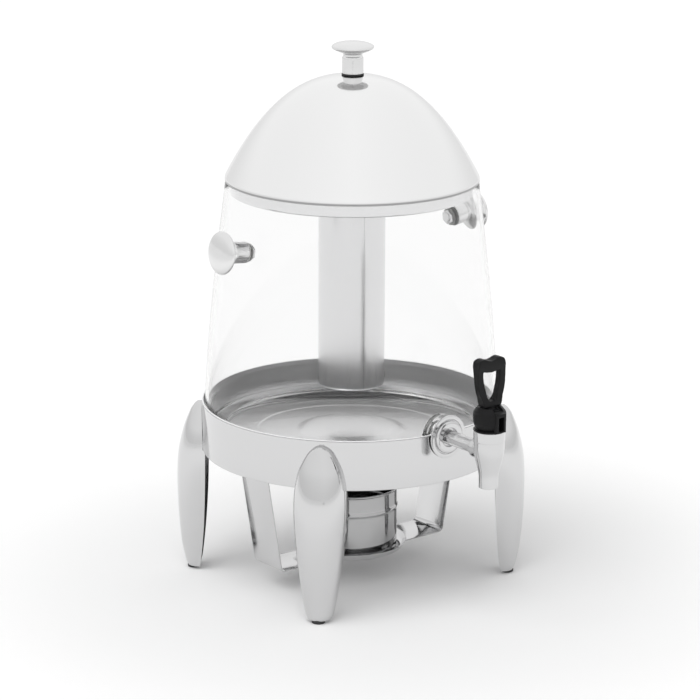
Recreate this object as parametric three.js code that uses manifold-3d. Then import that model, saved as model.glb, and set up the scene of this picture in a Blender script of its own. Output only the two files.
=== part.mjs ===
// Drink dispenser: a clear tank with a lever tap on a polished base with four curved legs,
// an ice tube hanging in the tank, a domed lid, and an open fuel cup on a strap under the base.
// Millimetres, +Z up, the tap towards -Y. Everything is laid out round the tank's axis and
// moved at the end so that the origin is the middle of the footprint, on the ground.

import * as THREE from 'three';
import { mergeVertices } from 'three/addons/utils/BufferGeometryUtils.js';
import Module from 'manifold-3d';

const wasm = await Module();
wasm.setup();

// Clearance between touching pieces, overrun of cuts, and facet counts
const gap = 0.3;
const overrun = 2;
const roundSides = 36;
const turnedSides = 16;
const smallSides = 12;
const boltSides = 8;
const bendSteps = 2;

// Legs and feet
const legHeight = 172.3;
const legWidth = 51.5;
const legDepth = 23;
const legWall = 1.2;
const legToe = 6;
const legCrown = 2.5;
const legStandoff = 2.3;
const legAngleDegrees = 49.56;
const legStationCount = 7;
const legArcSteps = 6;
const legSquareShare = 0.91;
const legThinShare = 0.3;
const legOutlineShares = [
  [0, 0.56, 0.47],
  [0.03, 0.66, 0.55],
  [0.17, 0.857, 0.7],
  [0.45, 0.99, 0.93],
  [0.68, 0.96, 1],
  [0.84, 0.72, 0.86],
  [0.95, 0.38, 0.48],
  [1, 0.1, 0.06],
];
const plateThickness = 3;
const plateInset = 1.7;
const plateTopInset = 3.6;
const footPadRadius = 6.5;
const footPadHeight = 3;
const footStemRadius = 2.5;
const footStemLength = 4.6;
const footSetback = 6.9;

// Base ring and pan
const ringRadius = 150;
const ringHeight = 49;
const ringWall = 1;
const ringLip = 6;
const ringAboveLeg = 4.7;
const panWall = 1;
const panDepth = 34.7;
const panCorner = 5;
const panFloorMargin = 12;
const panStepRun = 2;
const panStepRise = 0.6;
const panBossRadius = 45;
const panBossSlope = 7;
const panBossRise = 4.5;

// Leg screws
const screwRadius = 2.5;
const screwHeadRadius = 5.5;
const screwHeadHeight = 1.8;
const screwStickOut = 1.5;
const screwTopInset = 15.3;
const screwBottomInset = 8.2;
const legWasherRadius = 8;
const legWasherThickness = 0.8;
const bossRadius = 7;

// Burner bracket, dish and cup
const strapWidth = 44;
const strapThickness = 1.2;
const strapBend = 6;
const strapClearance = 16.755;
const strapArmRun = 21;
const strapUnderside = 23.6;
const strapTabLength = 18;
const studRadius = 2.5;
const studInset = 10;
const studSpread = 26;
const studTail = 1.5;
const bracketNutFlats = 8;
const bracketNutHeight = 4;
const dishBaseRadius = 49;
const dishRimRadius = 57;
const dishHeight = 8;
const dishWall = 0.8;
const rivetRadius = 2.5;
const rivetHeadRadius = 5;
const rivetHeadHeight = 1.5;
const cupRadius = 47;
const cupHeight = 64.6;
const cupWall = 1;
const cupCorner = 3;
const cupFootRadius = 31;
const cupFootRise = 3;
const cupBeadDrop = 20;
const cupBead = 1;
const cupRimRoll = 1.2;

// Tank
const tankHeight = 257.5;
const tankWall = 3.2;
const tankPlay = 1.1;
const tankFootInset = 3.6;
const tankFootHeight = 28.3;
const tankFootSlope = 3;
const tankCollarHeight = 2.9;
const tankMouthRadius = 124.7;
const tankCurveShare = 1.39;
const tankStationCount = 3;
const tankChamfer = 2;
const tankFootWidth = 17;
const tankFloorRise = 5.5;
const tankFloorThickness = 3;
const tankInnerCorner = 4;

// Tap shank, seals and escutcheon
const shankRadius = 7;
const shankBelowRing = 3.3;
const shankTail = 2.5;
const waterBoreRadius = 4.5;
const slotPlay = 0.5;
const clampRadius = 12;
const clampThickness = 1.4;
const padThickness = 6;
const padRadius = 20;
const padRecessRadius = 17;
const sealRadius = 13;
const innerSealThickness = 2.2;
const lockNutFlats = 24;
const lockNutHeight = 6;
const escutcheonRadius = 21.3;
const escutcheonThickness = 1.2;
const escutcheonHubRadius = 15;
const escutcheonHubHeight = 4.2;
const escutcheonRecessRadius = 9;
const escutcheonRound = 1;

// Tap body
const tapReach = 61.3;
const tapTopRadius = 15.4;
const tapTopHeight = 19;
const tapSpoutRadius = 9.4;
const tapSpoutLength = 35.5;
const tapSpoutStraight = 13.5;
const tapRimDrop = 9;
const tapRimStep = 0.5;
const tapCollarRadius = 10;
const tapCollarReach = 24;
const tapChamberRadius = 10;
const tapSeatDrop = 10;
const tapSeatRadius = 6;
const tapSeatThickness = 7;
const tapSpoutBoreRadius = 7.5;
const bonnetSkirtRadius = 12.2;
const bonnetSkirtLength = 5.7;

// Bonnet, stem, seat cup, spring and lever pin
const bonnetRadius = 16;
const bonnetFlangeRadius = 15.7;
const bonnetFlangeHeight = 1.2;
const bonnetNeckRadius = 13;
const bonnetNeckSlope = 7.5;
const bonnetBarrelHeight = 12;
const bonnetHeadRadius = 11.7;
const bonnetHeight = 25.7;
const bonnetBossWidth = 11.2;
const bonnetBossReach = 17.3;
const bonnetBossDrop = 4.3;
const bonnetBossRoot = 5.5;
const bonnetBossRootDrop = 1.1;
const bonnetBossBendShares = [0.63, 0.69];
const bonnetBridgeDepth = 6.3;
const bonnetBridgeHeight = 3.3;
const bonnetWeb = 2.7;
const bonnetSlotFloor = 3.7;
const springCavityRadius = 9;
const stemRadius = 2.5;
const stemDiscRadius = 6;
const stemDiscThickness = 1.2;
const stemTail = 4.2;
const eyeRadius = 4;
const eyeThickness = 2.4;
const pinRadius = 1.2;
const pinBelowBonnetTop = 7;
const seatCupRadius = 8.5;
const seatCupHeight = 6.7;
const springRadius = 6.4;
const springWire = 1;
const springTurnCount = 5;
const springStepCount = 6;
const springWireSides = 4;

// Lever
const bladeThickness = 6;
const bladeDepth = 10;
const bladeRoot = 1.5;
const leverWidth = 34.6;
const leverHeight = 47;
const leverDepth = 10;
const leverLean = 2;
const leverOuterShares = [
  [0.57, 0],
  [0.61, 0.05],
  [0.74, 0.187],
  [0.87, 0.3],
  [0.96, 0.45],
  [1, 0.64],
  [0.99, 0.78],
  [0.96, 0.88],
  [0.88, 0.955],
  [0.73, 0.99],
  [0.5, 1],
  [0.25, 0.965],
  [0, 0.945],
];
const leverHoleShares = [
  [0, 0.05],
  [0.3, 0.055],
  [0.44, 0.1],
  [0.55, 0.2],
  [0.62, 0.34],
  [0.67, 0.5],
  [0.686, 0.64],
  [0.66, 0.715],
  [0.4, 0.7],
  [0, 0.695],
];
const leverSideShares = [
  [0, 1, 0],
  [0.1, 1, 0.02],
  [0.24, 0.7, 0.08],
  [0.45, 0.64, 0.28],
  [0.7, 0.7, 0.6],
  [0.84, 0.95, 0.82],
  [0.95, 1, 0.98],
  [1, 0.86, 1],
];

// Side knobs and lid knob
const knobRadius = 21;
const knobHeight = 31.3;
const knobBoreDepth = 14;
const knobOutlineShares = [
  [0.5, 0],
  [0.5, 0.5],
  [0.44, 0.58],
  [0.44, 0.7],
  [0.57, 0.75],
  [0.9, 0.8],
  [1, 0.88],
  [0.97, 0.94],
  [0.76, 1],
  [0, 1],
];
const knobStudRadius = 3;
const knobSealRadius = 10.5;
const knobSealThickness = 1;
const knobBelowMouth = 55.3;
const sideWasherRadius = 9;
const sideWasherThickness = 1.5;
const capNutFlats = 13;
const capNutHeight = 3;
const capNutDome = 1.5;
const capNutBore = 3.2;

// Ice insert
const plateWall = 0.9;
const plateCollarPlay = 1.5;
const plateCollarDepth = 12.6;
const plateFlangeOverhang = 0.4;
const iceTubeRadius = 33;
const iceTubeClearance = 40.6;
const iceTubeWall = 1;
const iceTubeFlange = 4;
const iceTubeCorner = 3;

// Lid
const lidOverhang = 0.3;
const lidWall = 1;
const lidSkirt = 2;
const lidRise = 99.8;
const lidCurveShare = 2.41;
const lidStationCount = 6;
const lidSeatMargin = 1;
const lidLipPlay = 3;
const lidLipDepth = 6;
const gasketRadius = 11;
const gasketThickness = 1.2;
const lidWasherRadius = 9;
const lidWasherThickness = 1;
const lidScrewHeadRadius = 5.5;
const lidScrewHeadHeight = 3;

// Distance from the axis to the middle of a facet of a round wall
function apothem(radius) {
  return radius * Math.cos(Math.PI / roundSides);
}

// Distance from the axis at which a flat disc meets the facets of a round wall
function flatSeat(wallRadius, discRadius) {
  return Math.sqrt(apothem(wallRadius) ** 2 - discRadius ** 2);
}

// Levels and radii that several pieces share
const legBottom = footPadHeight + gap;
const ringTop = legBottom + legHeight + ringAboveLeg;
const ringBottom = ringTop - ringHeight;
const ringFace = apothem(ringRadius);
const panOuterRadius = ringRadius - ringWall - gap;
const panInnerRadius = panOuterRadius - panWall;
const rimTop = ringTop + gap + panWall;
const floorTop = rimTop - panDepth;
const stepTop = floorTop + panStepRise;
const upperScrewHeight = ringTop - screwTopInset;
const lowerScrewHeight = ringBottom + screwBottomInset;
const boltHoleRadius = screwRadius + gap;
const strapSpan = 2 * (flatSeat(ringRadius - ringLip, strapWidth / 2) - strapClearance);
const strapBarSpan = strapSpan - 2 * strapArmRun;
const panFloorRadius = strapSpan / 2 - strapTabLength - panStepRun - panFloorMargin;

const tankBodyRadius = panInnerRadius - tankPlay;
const tankFootRadius = tankBodyRadius - tankFootInset;
const tankBottom = stepTop + gap;
const tankTop = tankBottom + tankHeight;
const tankFloorUnderside = tankBottom + tankFloorRise;
const tankFloorTop = tankFloorUnderside + tankFloorThickness;
const tankStepBottom = tankBottom + tankFootHeight;
const tankStepTop = tankStepBottom + tankFootSlope;
const tankCurveBottom = tankStepTop + tankCollarHeight;

const shankHeight = ringTop - shankBelowRing;
const slotRadius = shankRadius + slotPlay;
const clampOuter = flatSeat(panInnerRadius, clampRadius) - gap;
const clampInner = clampOuter - clampThickness;
const padOuter = flatSeat(tankFootRadius, padRecessRadius);
const padInner = padOuter - padThickness;
const innerSealInner = padInner - gap - innerSealThickness;
const lockNutInner = innerSealInner - gap - lockNutHeight;
const shankEnd = lockNutInner - shankTail;
const tapDistance = ringFace + tapReach;

// Heights inside the tap, from the shank's axis
const bonnetBottom = tapTopHeight + gap;
const bonnetTop = bonnetBottom + bonnetHeight;
const slotFloor = bonnetBottom + bonnetSlotFloor;
const webUnderside = slotFloor - bonnetWeb;
const pinHeight = bonnetTop - pinBelowBonnetTop;
const bladeRadius = bladeDepth / 2;
const seatCupBottom = gap - tapSeatDrop;
const seatCupTop = seatCupBottom + seatCupHeight;
const stemDiscBottom = seatCupTop + gap;
const stemDiscTop = stemDiscBottom + stemDiscThickness;
const leverBottom = bonnetTop + gap;

const plateFlangeBottom = tankTop + gap;
const plateFlangeTop = plateFlangeBottom + plateWall;
const plateBottom = plateFlangeBottom - plateCollarDepth;
const plateCollarRadius = tankMouthRadius - tankWall - plateCollarPlay;
const plateHoleRadius = iceTubeRadius + 2 * gap;
const iceTubeTop = plateBottom + plateWall + gap + iceTubeWall;
const lidBottom = plateFlangeTop + gap;
const lidRadius = tankMouthRadius + lidOverhang;
const lidSeatRadius = gasketRadius + lidSeatMargin;

// Height of a face of the dome at a distance from the axis
function domeHeight(across, radius, rise) {
  return lidBottom + lidSkirt + rise * (1 - (across / radius) ** lidCurveShare);
}

const lidTop = domeHeight(lidSeatRadius, lidRadius, lidRise);
const lidCeiling = domeHeight(lidSeatRadius, lidRadius - lidWall, lidRise - lidWall);
const knobHoleRadius = knobStudRadius + gap;

// Welds the shared corners of a geometry and drops triangles that shrink to a line there
function weld(geometry) {
  geometry.deleteAttribute('normal');
  geometry.deleteAttribute('uv');
  const merged = mergeVertices(geometry);
  const corners = merged.index.array;
  const kept = [];
  for (let start = 0; start < corners.length; start += 3) {
    const [a, b, c] = corners.slice(start, start + 3);
    if (a !== b && b !== c && c !== a) {
      kept.push(a, b, c);
    }
  }
  merged.setIndex(kept);
  return merged;
}

function toSolid(geometry) {
  const merged = weld(geometry);
  const mesh = new wasm.Mesh({
    numProp: 3,
    vertProperties: merged.attributes.position.array,
    triVerts: Uint32Array.from(merged.index.array),
  });
  return new wasm.Manifold(mesh);
}

function toGeometry(solid) {
  const mesh = solid.getMesh();
  const geometry = new THREE.BufferGeometry();
  geometry.setAttribute('position', new THREE.BufferAttribute(mesh.vertProperties, 3));
  geometry.setIndex(Array.from(mesh.triVerts));
  return geometry;
}

// Starts from a geometry, joins the added ones and then cuts the removed ones
function shape(base, added, removed) {
  let solid = toSolid(base);
  for (const geometry of added) {
    solid = solid.add(toSolid(geometry));
  }
  for (const geometry of removed) {
    solid = solid.subtract(toSolid(geometry));
  }
  return toGeometry(solid);
}

// Revolves [radius, height] pairs about +Z, with the middle of a facet towards -Y
function revolve(profile, sides) {
  const points = profile.map(([radius, height]) => new THREE.Vector2(radius, height));
  return new THREE.LatheGeometry(points, sides, Math.PI / sides).rotateX(Math.PI / 2);
}

function loop(profile) {
  return [...profile, profile[0]];
}

function disc(radius, bottom, top, sides) {
  return revolve([[0, bottom], [radius, bottom], [radius, top], [0, top]], sides);
}

function washer(inner, outer, bottom, top, sides) {
  const profile = [[inner, bottom], [outer, bottom], [outer, top], [inner, top]];
  return revolve(loop(profile), sides);
}

// A quarter round from one direction to another, in quarter turns from the +radius direction
function quarter(centreRadius, centreHeight, radius, from, to, steps = bendSteps) {
  const points = [];
  for (let step = 0; step <= steps; step += 1) {
    const angle = (from + (to - from) * step / steps) * Math.PI / 2;
    const across = centreRadius + radius * Math.cos(angle);
    points.push([across, centreHeight + radius * Math.sin(angle)]);
  }
  return points;
}

// A flat outline of [x, z] pairs given a width along Y, centred on y = 0
function slab(outline, width, holes = []) {
  const toPoints = (pairs) => pairs.map(([x, z]) => new THREE.Vector2(x, z));
  const face = new THREE.Shape(toPoints(outline));
  for (const hole of holes) {
    face.holes.push(new THREE.Path(toPoints(hole)));
  }
  const body = new THREE.ExtrudeGeometry(face, { depth: width, bevelEnabled: false });
  return body.rotateX(Math.PI / 2).translate(0, width / 2, 0);
}

function block(low, high) {
  const size = high.map((value, axis) => value - low[axis]);
  const middle = high.map((value, axis) => (value + low[axis]) / 2);
  return new THREE.BoxGeometry(...size).translate(...middle);
}

// A six-sided nut with a round hole, standing on z = bottom
function nut(flats, holeRadius, bottom, height, holeSides = boltSides) {
  const face = new THREE.Shape();
  const corner = flats / Math.sqrt(3);
  for (let side = 0; side < 6; side += 1) {
    const angle = side * Math.PI / 3;
    const point = [corner * Math.cos(angle), corner * Math.sin(angle)];
    if (side === 0) {
      face.moveTo(...point);
    } else {
      face.lineTo(...point);
    }
  }
  face.closePath();
  if (holeRadius > 0) {
    const hole = new THREE.Path();
    hole.absarc(0, 0, holeRadius, 0, Math.PI * 2, true);
    face.holes.push(hole);
  }
  const options = { depth: height, bevelEnabled: false, curveSegments: holeSides / 2 };
  return new THREE.ExtrudeGeometry(face, options).translate(0, 0, bottom);
}

// Joins equal rings of points, each turning left as seen from the end, into one closed skin
function loft(sections) {
  const count = sections[0].length;
  const top = (sections.length - 1) * count;
  const index = [];
  for (let level = 0; level < top; level += count) {
    for (let side = 0; side < count; side += 1) {
      const here = level + side;
      const next = level + (side + 1) % count;
      index.push(here, next, next + count, here, next + count, here + count);
    }
  }
  for (let side = 1; side + 1 < count; side += 1) {
    index.push(0, side + 1, side, top, top + side, top + side + 1);
  }
  const positions = sections.flat().flatMap((point) => point.toArray());
  const geometry = new THREE.BufferGeometry();
  geometry.setAttribute('position', new THREE.Float32BufferAttribute(positions, 3));
  geometry.setIndex(index);
  return geometry;
}

// The frame of a piece on a round wall: +Z points outward at the given angle from -Y
function wallFrame(angle, distance, height) {
  return new THREE.Matrix4()
    .makeRotationZ(angle)
    .multiply(new THREE.Matrix4().makeTranslation(0, -distance, height))
    .multiply(new THREE.Matrix4().makeRotationX(Math.PI / 2));
}

const finishes = {
  polishedSteel: { color: 0xd9dadb, roughness: 0.12, metalness: 1 },
  satinSteel: { color: 0xc9cacb, roughness: 0.35, metalness: 1 },
  clearPlastic: { color: 0xf2f4f5, roughness: 0.05, metalness: 0, transparent: true, opacity: 0.3 },
  blackPlastic: { color: 0x1d1d1e, roughness: 0.4, metalness: 0 },
  rubber: { color: 0x232324, roughness: 0.8, metalness: 0 },
  silicone: { color: 0xe6e6e4, roughness: 0.6, metalness: 0 },
};

function piece(name, geometry, finish) {
  const mesh = new THREE.Mesh(weld(geometry), new THREE.MeshStandardMaterial(finishes[finish]));
  mesh.name = name;
  return mesh;
}

const legPlaces = [
  ['front_left', -THREE.MathUtils.degToRad(legAngleDegrees)],
  ['front_right', THREE.MathUtils.degToRad(legAngleDegrees)],
  ['rear_left', THREE.MathUtils.degToRad(legAngleDegrees) - Math.PI],
  ['rear_right', Math.PI - THREE.MathUtils.degToRad(legAngleDegrees)],
];

// The slot that lets the tap's shank rise out of a round wall
function shankSlot() {
  const far = ringRadius + overrun;
  const near = panInnerRadius - clampRadius;
  const round = disc(slotRadius, near - far, 0, smallSides);
  round.applyMatrix4(wallFrame(0, far, shankHeight));
  const open = block(
    [-slotRadius, -far, shankHeight],
    [slotRadius, -near, rimTop + overrun],
  );
  return [round, open];
}

function legBolt(height) {
  return legPlaces.map(([, angle]) => {
    const reach = ringRadius + overrun - tankFootRadius;
    const hole = disc(boltHoleRadius, -reach, 0, boltSides);
    return hole.applyMatrix4(wallFrame(angle, ringRadius + overrun, height));
  });
}

function baseRing() {
  const inner = ringRadius - ringWall;
  const profile = loop([
    [ringRadius - ringLip, ringBottom],
    [ringRadius, ringBottom],
    [ringRadius, ringTop],
    [inner, ringTop],
    [inner, ringBottom + ringWall],
    [ringRadius - ringLip, ringBottom + ringWall],
  ]);
  const cuts = [...shankSlot(), ...legBolt(upperScrewHeight), ...legBolt(lowerScrewHeight)];
  return piece('base_ring', shape(revolve(profile, roundSides), [], cuts), 'polishedSteel');
}

const studPlaces = [-1, 1].flatMap((side) => [-1, 1].map((end) => {
  return [side * (strapSpan / 2 - studInset), end * studSpread / 2];
}));
const panUnderside = stepTop - panWall;
const strapTop = panUnderside - gap;
const tabUnderside = strapTop - strapThickness;
const studBottom = tabUnderside - gap - bracketNutHeight - studTail;

function basePan() {
  const bossFoot = panBossRadius + panBossSlope;
  const stepRadius = panFloorRadius + panStepRun;
  const innerCorner = panCorner - panWall;
  const cornerRadius = panOuterRadius - panCorner;
  const cornerHeight = panUnderside + panCorner;
  const profile = [
    [0, floorTop + panBossRise - panWall],
    [panBossRadius, floorTop + panBossRise - panWall],
    [bossFoot, floorTop - panWall],
    [panFloorRadius, floorTop - panWall],
    [stepRadius, panUnderside],
    ...quarter(cornerRadius, cornerHeight, panCorner, -1, 0),
    [panOuterRadius, ringTop + gap],
    [ringRadius, ringTop + gap],
    [ringRadius, rimTop],
    [panInnerRadius, rimTop],
    ...quarter(cornerRadius, cornerHeight, innerCorner, 0, -1),
    [stepRadius, stepTop],
    [panFloorRadius, floorTop],
    [bossFoot, floorTop],
    [panBossRadius, floorTop + panBossRise],
    [0, floorTop + panBossRise],
  ];
  const studs = studPlaces.map(([x, y]) => {
    return disc(studRadius, studBottom, stepTop - panWall / 2, boltSides).translate(x, y, 0);
  });
  const cuts = [...shankSlot(), ...legBolt(upperScrewHeight)];
  return piece('base_pan', shape(revolve(profile, roundSides), studs, cuts), 'polishedSteel');
}

// One level of the leg: a flat back and a full rounded front
function legSection(width, depth, height, backReach) {
  const back = ringRadius + legStandoff;
  const points = [];
  for (let step = 0; step <= legArcSteps; step += 1) {
    const angle = Math.PI - Math.PI * step / legArcSteps;
    const across = Math.sign(Math.cos(angle)) * Math.abs(Math.cos(angle)) ** legSquareShare;
    const out = Math.abs(Math.sin(angle)) ** legSquareShare;
    const ends = step === 0 || step === legArcSteps;
    const x = ends ? Math.sign(across) * width / 2 : across * width / 2;
    points.push(new THREE.Vector3(x, -back - (ends ? 0 : out * depth), height));
  }
  if (backReach > 0) {
    points.unshift(new THREE.Vector3(-width / 2, backReach - back, height));
    points.push(new THREE.Vector3(width / 2, backReach - back, height));
  }
  return points;
}

function legGeometry() {
  const shares = new THREE.CatmullRomCurve3(
    legOutlineShares.map((station) => new THREE.Vector3(...station)),
  ).getPoints(legStationCount);
  const outer = shares.map((share) => legSection(
    share.z * legWidth,
    share.y * legDepth,
    legBottom + share.x * legHeight,
    0,
  ));
  const hollowHeight = legHeight - legToe - legCrown;
  const inner = shares.map((share) => {
    const width = share.z * legWidth;
    const depth = share.y * legDepth;
    return legSection(
      Math.max(width - 2 * legWall, width * legThinShare),
      Math.max(depth - legWall, depth * legThinShare),
      legBottom + legToe + share.x * hollowHeight,
      overrun,
    );
  });
  const back = ringRadius + legStandoff;
  const plate = block(
    [-legWidth, -back - plateThickness, ringBottom + plateInset],
    [legWidth, -back, legBottom + legHeight - plateTopInset],
  );
  const outside = toSolid(loft(outer));
  const fittedPlate = outside.intersect(toSolid(plate));
  let leg = outside.subtract(toSolid(loft(inner))).add(fittedPlate);
  const holes = [];
  for (const height of [upperScrewHeight, lowerScrewHeight]) {
    const place = wallFrame(0, back, height);
    const boss = disc(bossRadius, gap - legStandoff, plateThickness / 2, boltSides);
    leg = leg.add(toSolid(boss.applyMatrix4(place)));
    const hole = disc(boltHoleRadius, -legStandoff - overrun, plateThickness + overrun, boltSides);
    holes.push(hole.applyMatrix4(place));
  }
  const stemHole = disc(
    footStemRadius + gap,
    legBottom - overrun,
    footPadHeight + footStemLength + gap,
    boltSides,
  );
  holes.push(stemHole.translate(0, -back - footSetback, 0));
  for (const hole of holes) {
    leg = leg.subtract(toSolid(hole));
  }
  return toGeometry(leg);
}

function footPadGeometry() {
  const chamfer = gap;
  return revolve([
    [0, 0],
    [footPadRadius - chamfer, 0],
    [footPadRadius, chamfer],
    [footPadRadius, footPadHeight],
    [footStemRadius, footPadHeight],
    [footStemRadius, footPadHeight + footStemLength],
    [0, footPadHeight + footStemLength],
  ], smallSides);
}

// A round-headed screw, its head inside the wall and its thread pointing outward
function screwGeometry(headOuter) {
  const end = ringRadius + legStandoff + plateThickness + screwStickOut - headOuter;
  const domeHeight = screwHeadHeight / 3;
  return revolve([
    [0, -screwHeadHeight],
    [screwHeadRadius / 2, -screwHeadHeight],
    [screwHeadRadius, -domeHeight],
    [screwHeadRadius, 0],
    [screwRadius, 0],
    [screwRadius, end],
    [0, end],
  ], boltSides);
}

function addLegs(stand) {
  const washerOuter = flatSeat(panInnerRadius, legWasherRadius) - gap;
  const upperHead = washerOuter - legWasherThickness - gap;
  const lowerHead = flatSeat(ringRadius - ringWall, screwHeadRadius) - gap;
  for (const [place, angle] of legPlaces) {
    const corner = new THREE.Group();
    corner.rotation.z = angle;
    const pad = piece(`foot_pad_${place}`, footPadGeometry(), 'rubber');
    pad.position.y = -(ringRadius + legStandoff + footSetback);
    corner.add(piece(`leg_${place}`, legGeometry(), 'polishedSteel'), pad);
    const upper = screwGeometry(upperHead).applyMatrix4(wallFrame(0, upperHead, upperScrewHeight));
    const lower = screwGeometry(lowerHead).applyMatrix4(wallFrame(0, lowerHead, lowerScrewHeight));
    const underHead = washer(boltHoleRadius, legWasherRadius, -legWasherThickness, 0, boltSides);
    underHead.applyMatrix4(wallFrame(0, washerOuter, upperScrewHeight));
    corner.add(
      piece(`upper_leg_screw_${place}`, upper, 'satinSteel'),
      piece(`leg_screw_washer_${place}`, underHead, 'satinSteel'),
      piece(`lower_leg_screw_${place}`, lower, 'satinSteel'),
    );
    stand.add(corner);
  }
}

// Rounds the inner corners of a line of points
function roundedLine(corners, reach) {
  const points = corners.map(([x, z]) => new THREE.Vector2(x, z));
  const line = [points[0]];
  for (let place = 1; place + 1 < points.length; place += 1) {
    const corner = points[place];
    const before = points[place - 1].clone().sub(corner).setLength(reach).add(corner);
    const after = points[place + 1].clone().sub(corner).setLength(reach).add(corner);
    line.push(...new THREE.QuadraticBezierCurve(before, corner, after).getPoints(bendSteps));
  }
  line.push(points[points.length - 1]);
  return line;
}

// The outline of a strip whose one face follows a line, with its thickness to the left
function strip(line, thickness) {
  const offset = line.map((point, place) => {
    const before = line[Math.max(place - 1, 0)];
    const after = line[Math.min(place + 1, line.length - 1)];
    const into = point.clone().sub(before).normalize();
    const outOf = after.clone().sub(point).normalize();
    if (place === 0) {
      into.copy(outOf);
    }
    if (place === line.length - 1) {
      outOf.copy(into);
    }
    const middle = into.clone().add(outOf);
    const stretch = thickness / (1 + into.dot(outOf));
    return new THREE.Vector2(point.x - middle.y * stretch, point.y + middle.x * stretch);
  });
  return [...line, ...offset.reverse()].map((point) => point.toArray());
}

function burnerBracket() {
  const half = strapSpan / 2;
  const barHalf = strapBarSpan / 2;
  const line = roundedLine([
    [strapTabLength - half, strapTop],
    [-half, strapTop],
    [-barHalf, strapUnderside],
    [barHalf, strapUnderside],
    [half, strapTop],
    [half - strapTabLength, strapTop],
  ], strapBend);
  const strap = slab(strip(line, strapThickness), strapWidth);
  const holes = studPlaces.map(([x, y]) => {
    const hole = disc(studRadius + gap, tabUnderside - overrun, strapTop + overrun, boltSides);
    return hole.translate(x, y, 0);
  });
  const strapBarTop = strapUnderside + strapThickness;
  holes.push(disc(rivetRadius + gap, strapUnderside - overrun, strapBarTop + overrun, boltSides));
  return piece('burner_bracket', shape(strap, [], holes), 'satinSteel');
}

function bracketNuts() {
  const bottom = tabUnderside - gap - bracketNutHeight;
  return studPlaces.map(([x, y], place) => {
    const geometry = nut(bracketNutFlats, studRadius + gap, bottom, bracketNutHeight);
    return piece(`bracket_nut_${place + 1}`, geometry.translate(x, y, 0), 'satinSteel');
  });
}

const dishBottom = strapUnderside + strapThickness + gap;
const dishTop = dishBottom + dishWall;
const cupBottom = dishTop + gap;

function burnerDish() {
  const flare = dishRimRadius - dishBaseRadius;
  const profile = loop([
    [rivetRadius + gap, dishBottom],
    [dishBaseRadius, dishBottom],
    [dishBaseRadius + flare / 2, dishBottom + dishHeight / 4],
    [dishRimRadius, dishBottom + dishHeight],
    [dishRimRadius - dishWall, dishBottom + dishHeight],
    [dishBaseRadius + flare / 2 - dishWall, dishTop + dishHeight / 4],
    [dishBaseRadius - dishWall, dishTop],
    [rivetRadius + gap, dishTop],
  ]);
  return piece('burner_dish', revolve(profile, turnedSides), 'satinSteel');
}

function dishRivet() {
  const tailTop = strapUnderside - gap;
  const headBottom = dishTop + gap;
  const profile = [
    [0, tailTop - rivetHeadHeight],
    [rivetHeadRadius, tailTop - rivetHeadHeight],
    [rivetHeadRadius, tailTop],
    [rivetRadius, tailTop],
    [rivetRadius, headBottom],
    [rivetHeadRadius, headBottom],
    [rivetRadius, headBottom + rivetHeadHeight],
    [0, headBottom + rivetHeadHeight],
  ];
  return piece('dish_rivet', revolve(profile, boltSides), 'satinSteel');
}

function burnerCup() {
  const top = cupBottom + cupHeight;
  const bead = top - cupBeadDrop;
  const inner = cupRadius - cupWall;
  const innerBottom = cupBottom + cupWall;
  const footInner = cupFootRadius - cupFootRise;
  const corner = cupRadius - cupCorner;
  const profile = [
    [0, cupBottom + cupFootRise],
    [footInner, cupBottom + cupFootRise],
    [cupFootRadius, cupBottom],
    [corner, cupBottom],
    [cupRadius, cupBottom + cupCorner],
    [cupRadius, bead - 2 * cupBead],
    [cupRadius + cupBead, bead],
    [cupRadius, bead + 2 * cupBead],
    [cupRadius, top - 2 * cupRimRoll],
    [cupRadius + cupRimRoll, top - cupRimRoll],
    [cupRadius + cupRimRoll / 2, top],
    [inner, top],
    [inner, cupBottom + cupCorner],
    [corner, innerBottom],
    [cupFootRadius, innerBottom],
    [footInner, innerBottom + cupFootRise],
    [0, innerBottom + cupFootRise],
  ];
  return piece('burner_cup', revolve(profile, turnedSides), 'polishedSteel');
}

// Radius of the tank's outer wall at a height in its curved part
function tankRadiusAt(height) {
  const share = Math.max(height - tankCurveBottom, 0) / (tankTop - tankCurveBottom);
  return tankBodyRadius - (tankBodyRadius - tankMouthRadius) * share ** tankCurveShare;
}

const knobCentreHeight = tankTop - knobBelowMouth;
const slopeReach = knobSealRadius;
const knobTilt = Math.atan2(
  tankRadiusAt(knobCentreHeight - slopeReach) - tankRadiusAt(knobCentreHeight + slopeReach),
  2 * slopeReach,
);

// The frame of a side knob: +Z points out of the wall, square to its slope
function knobFrame(side) {
  return new THREE.Matrix4()
    .makeTranslation(side * apothem(tankRadiusAt(knobCentreHeight)), 0, knobCentreHeight)
    .multiply(new THREE.Matrix4().makeRotationY(side * (Math.PI / 2 - knobTilt)));
}

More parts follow.
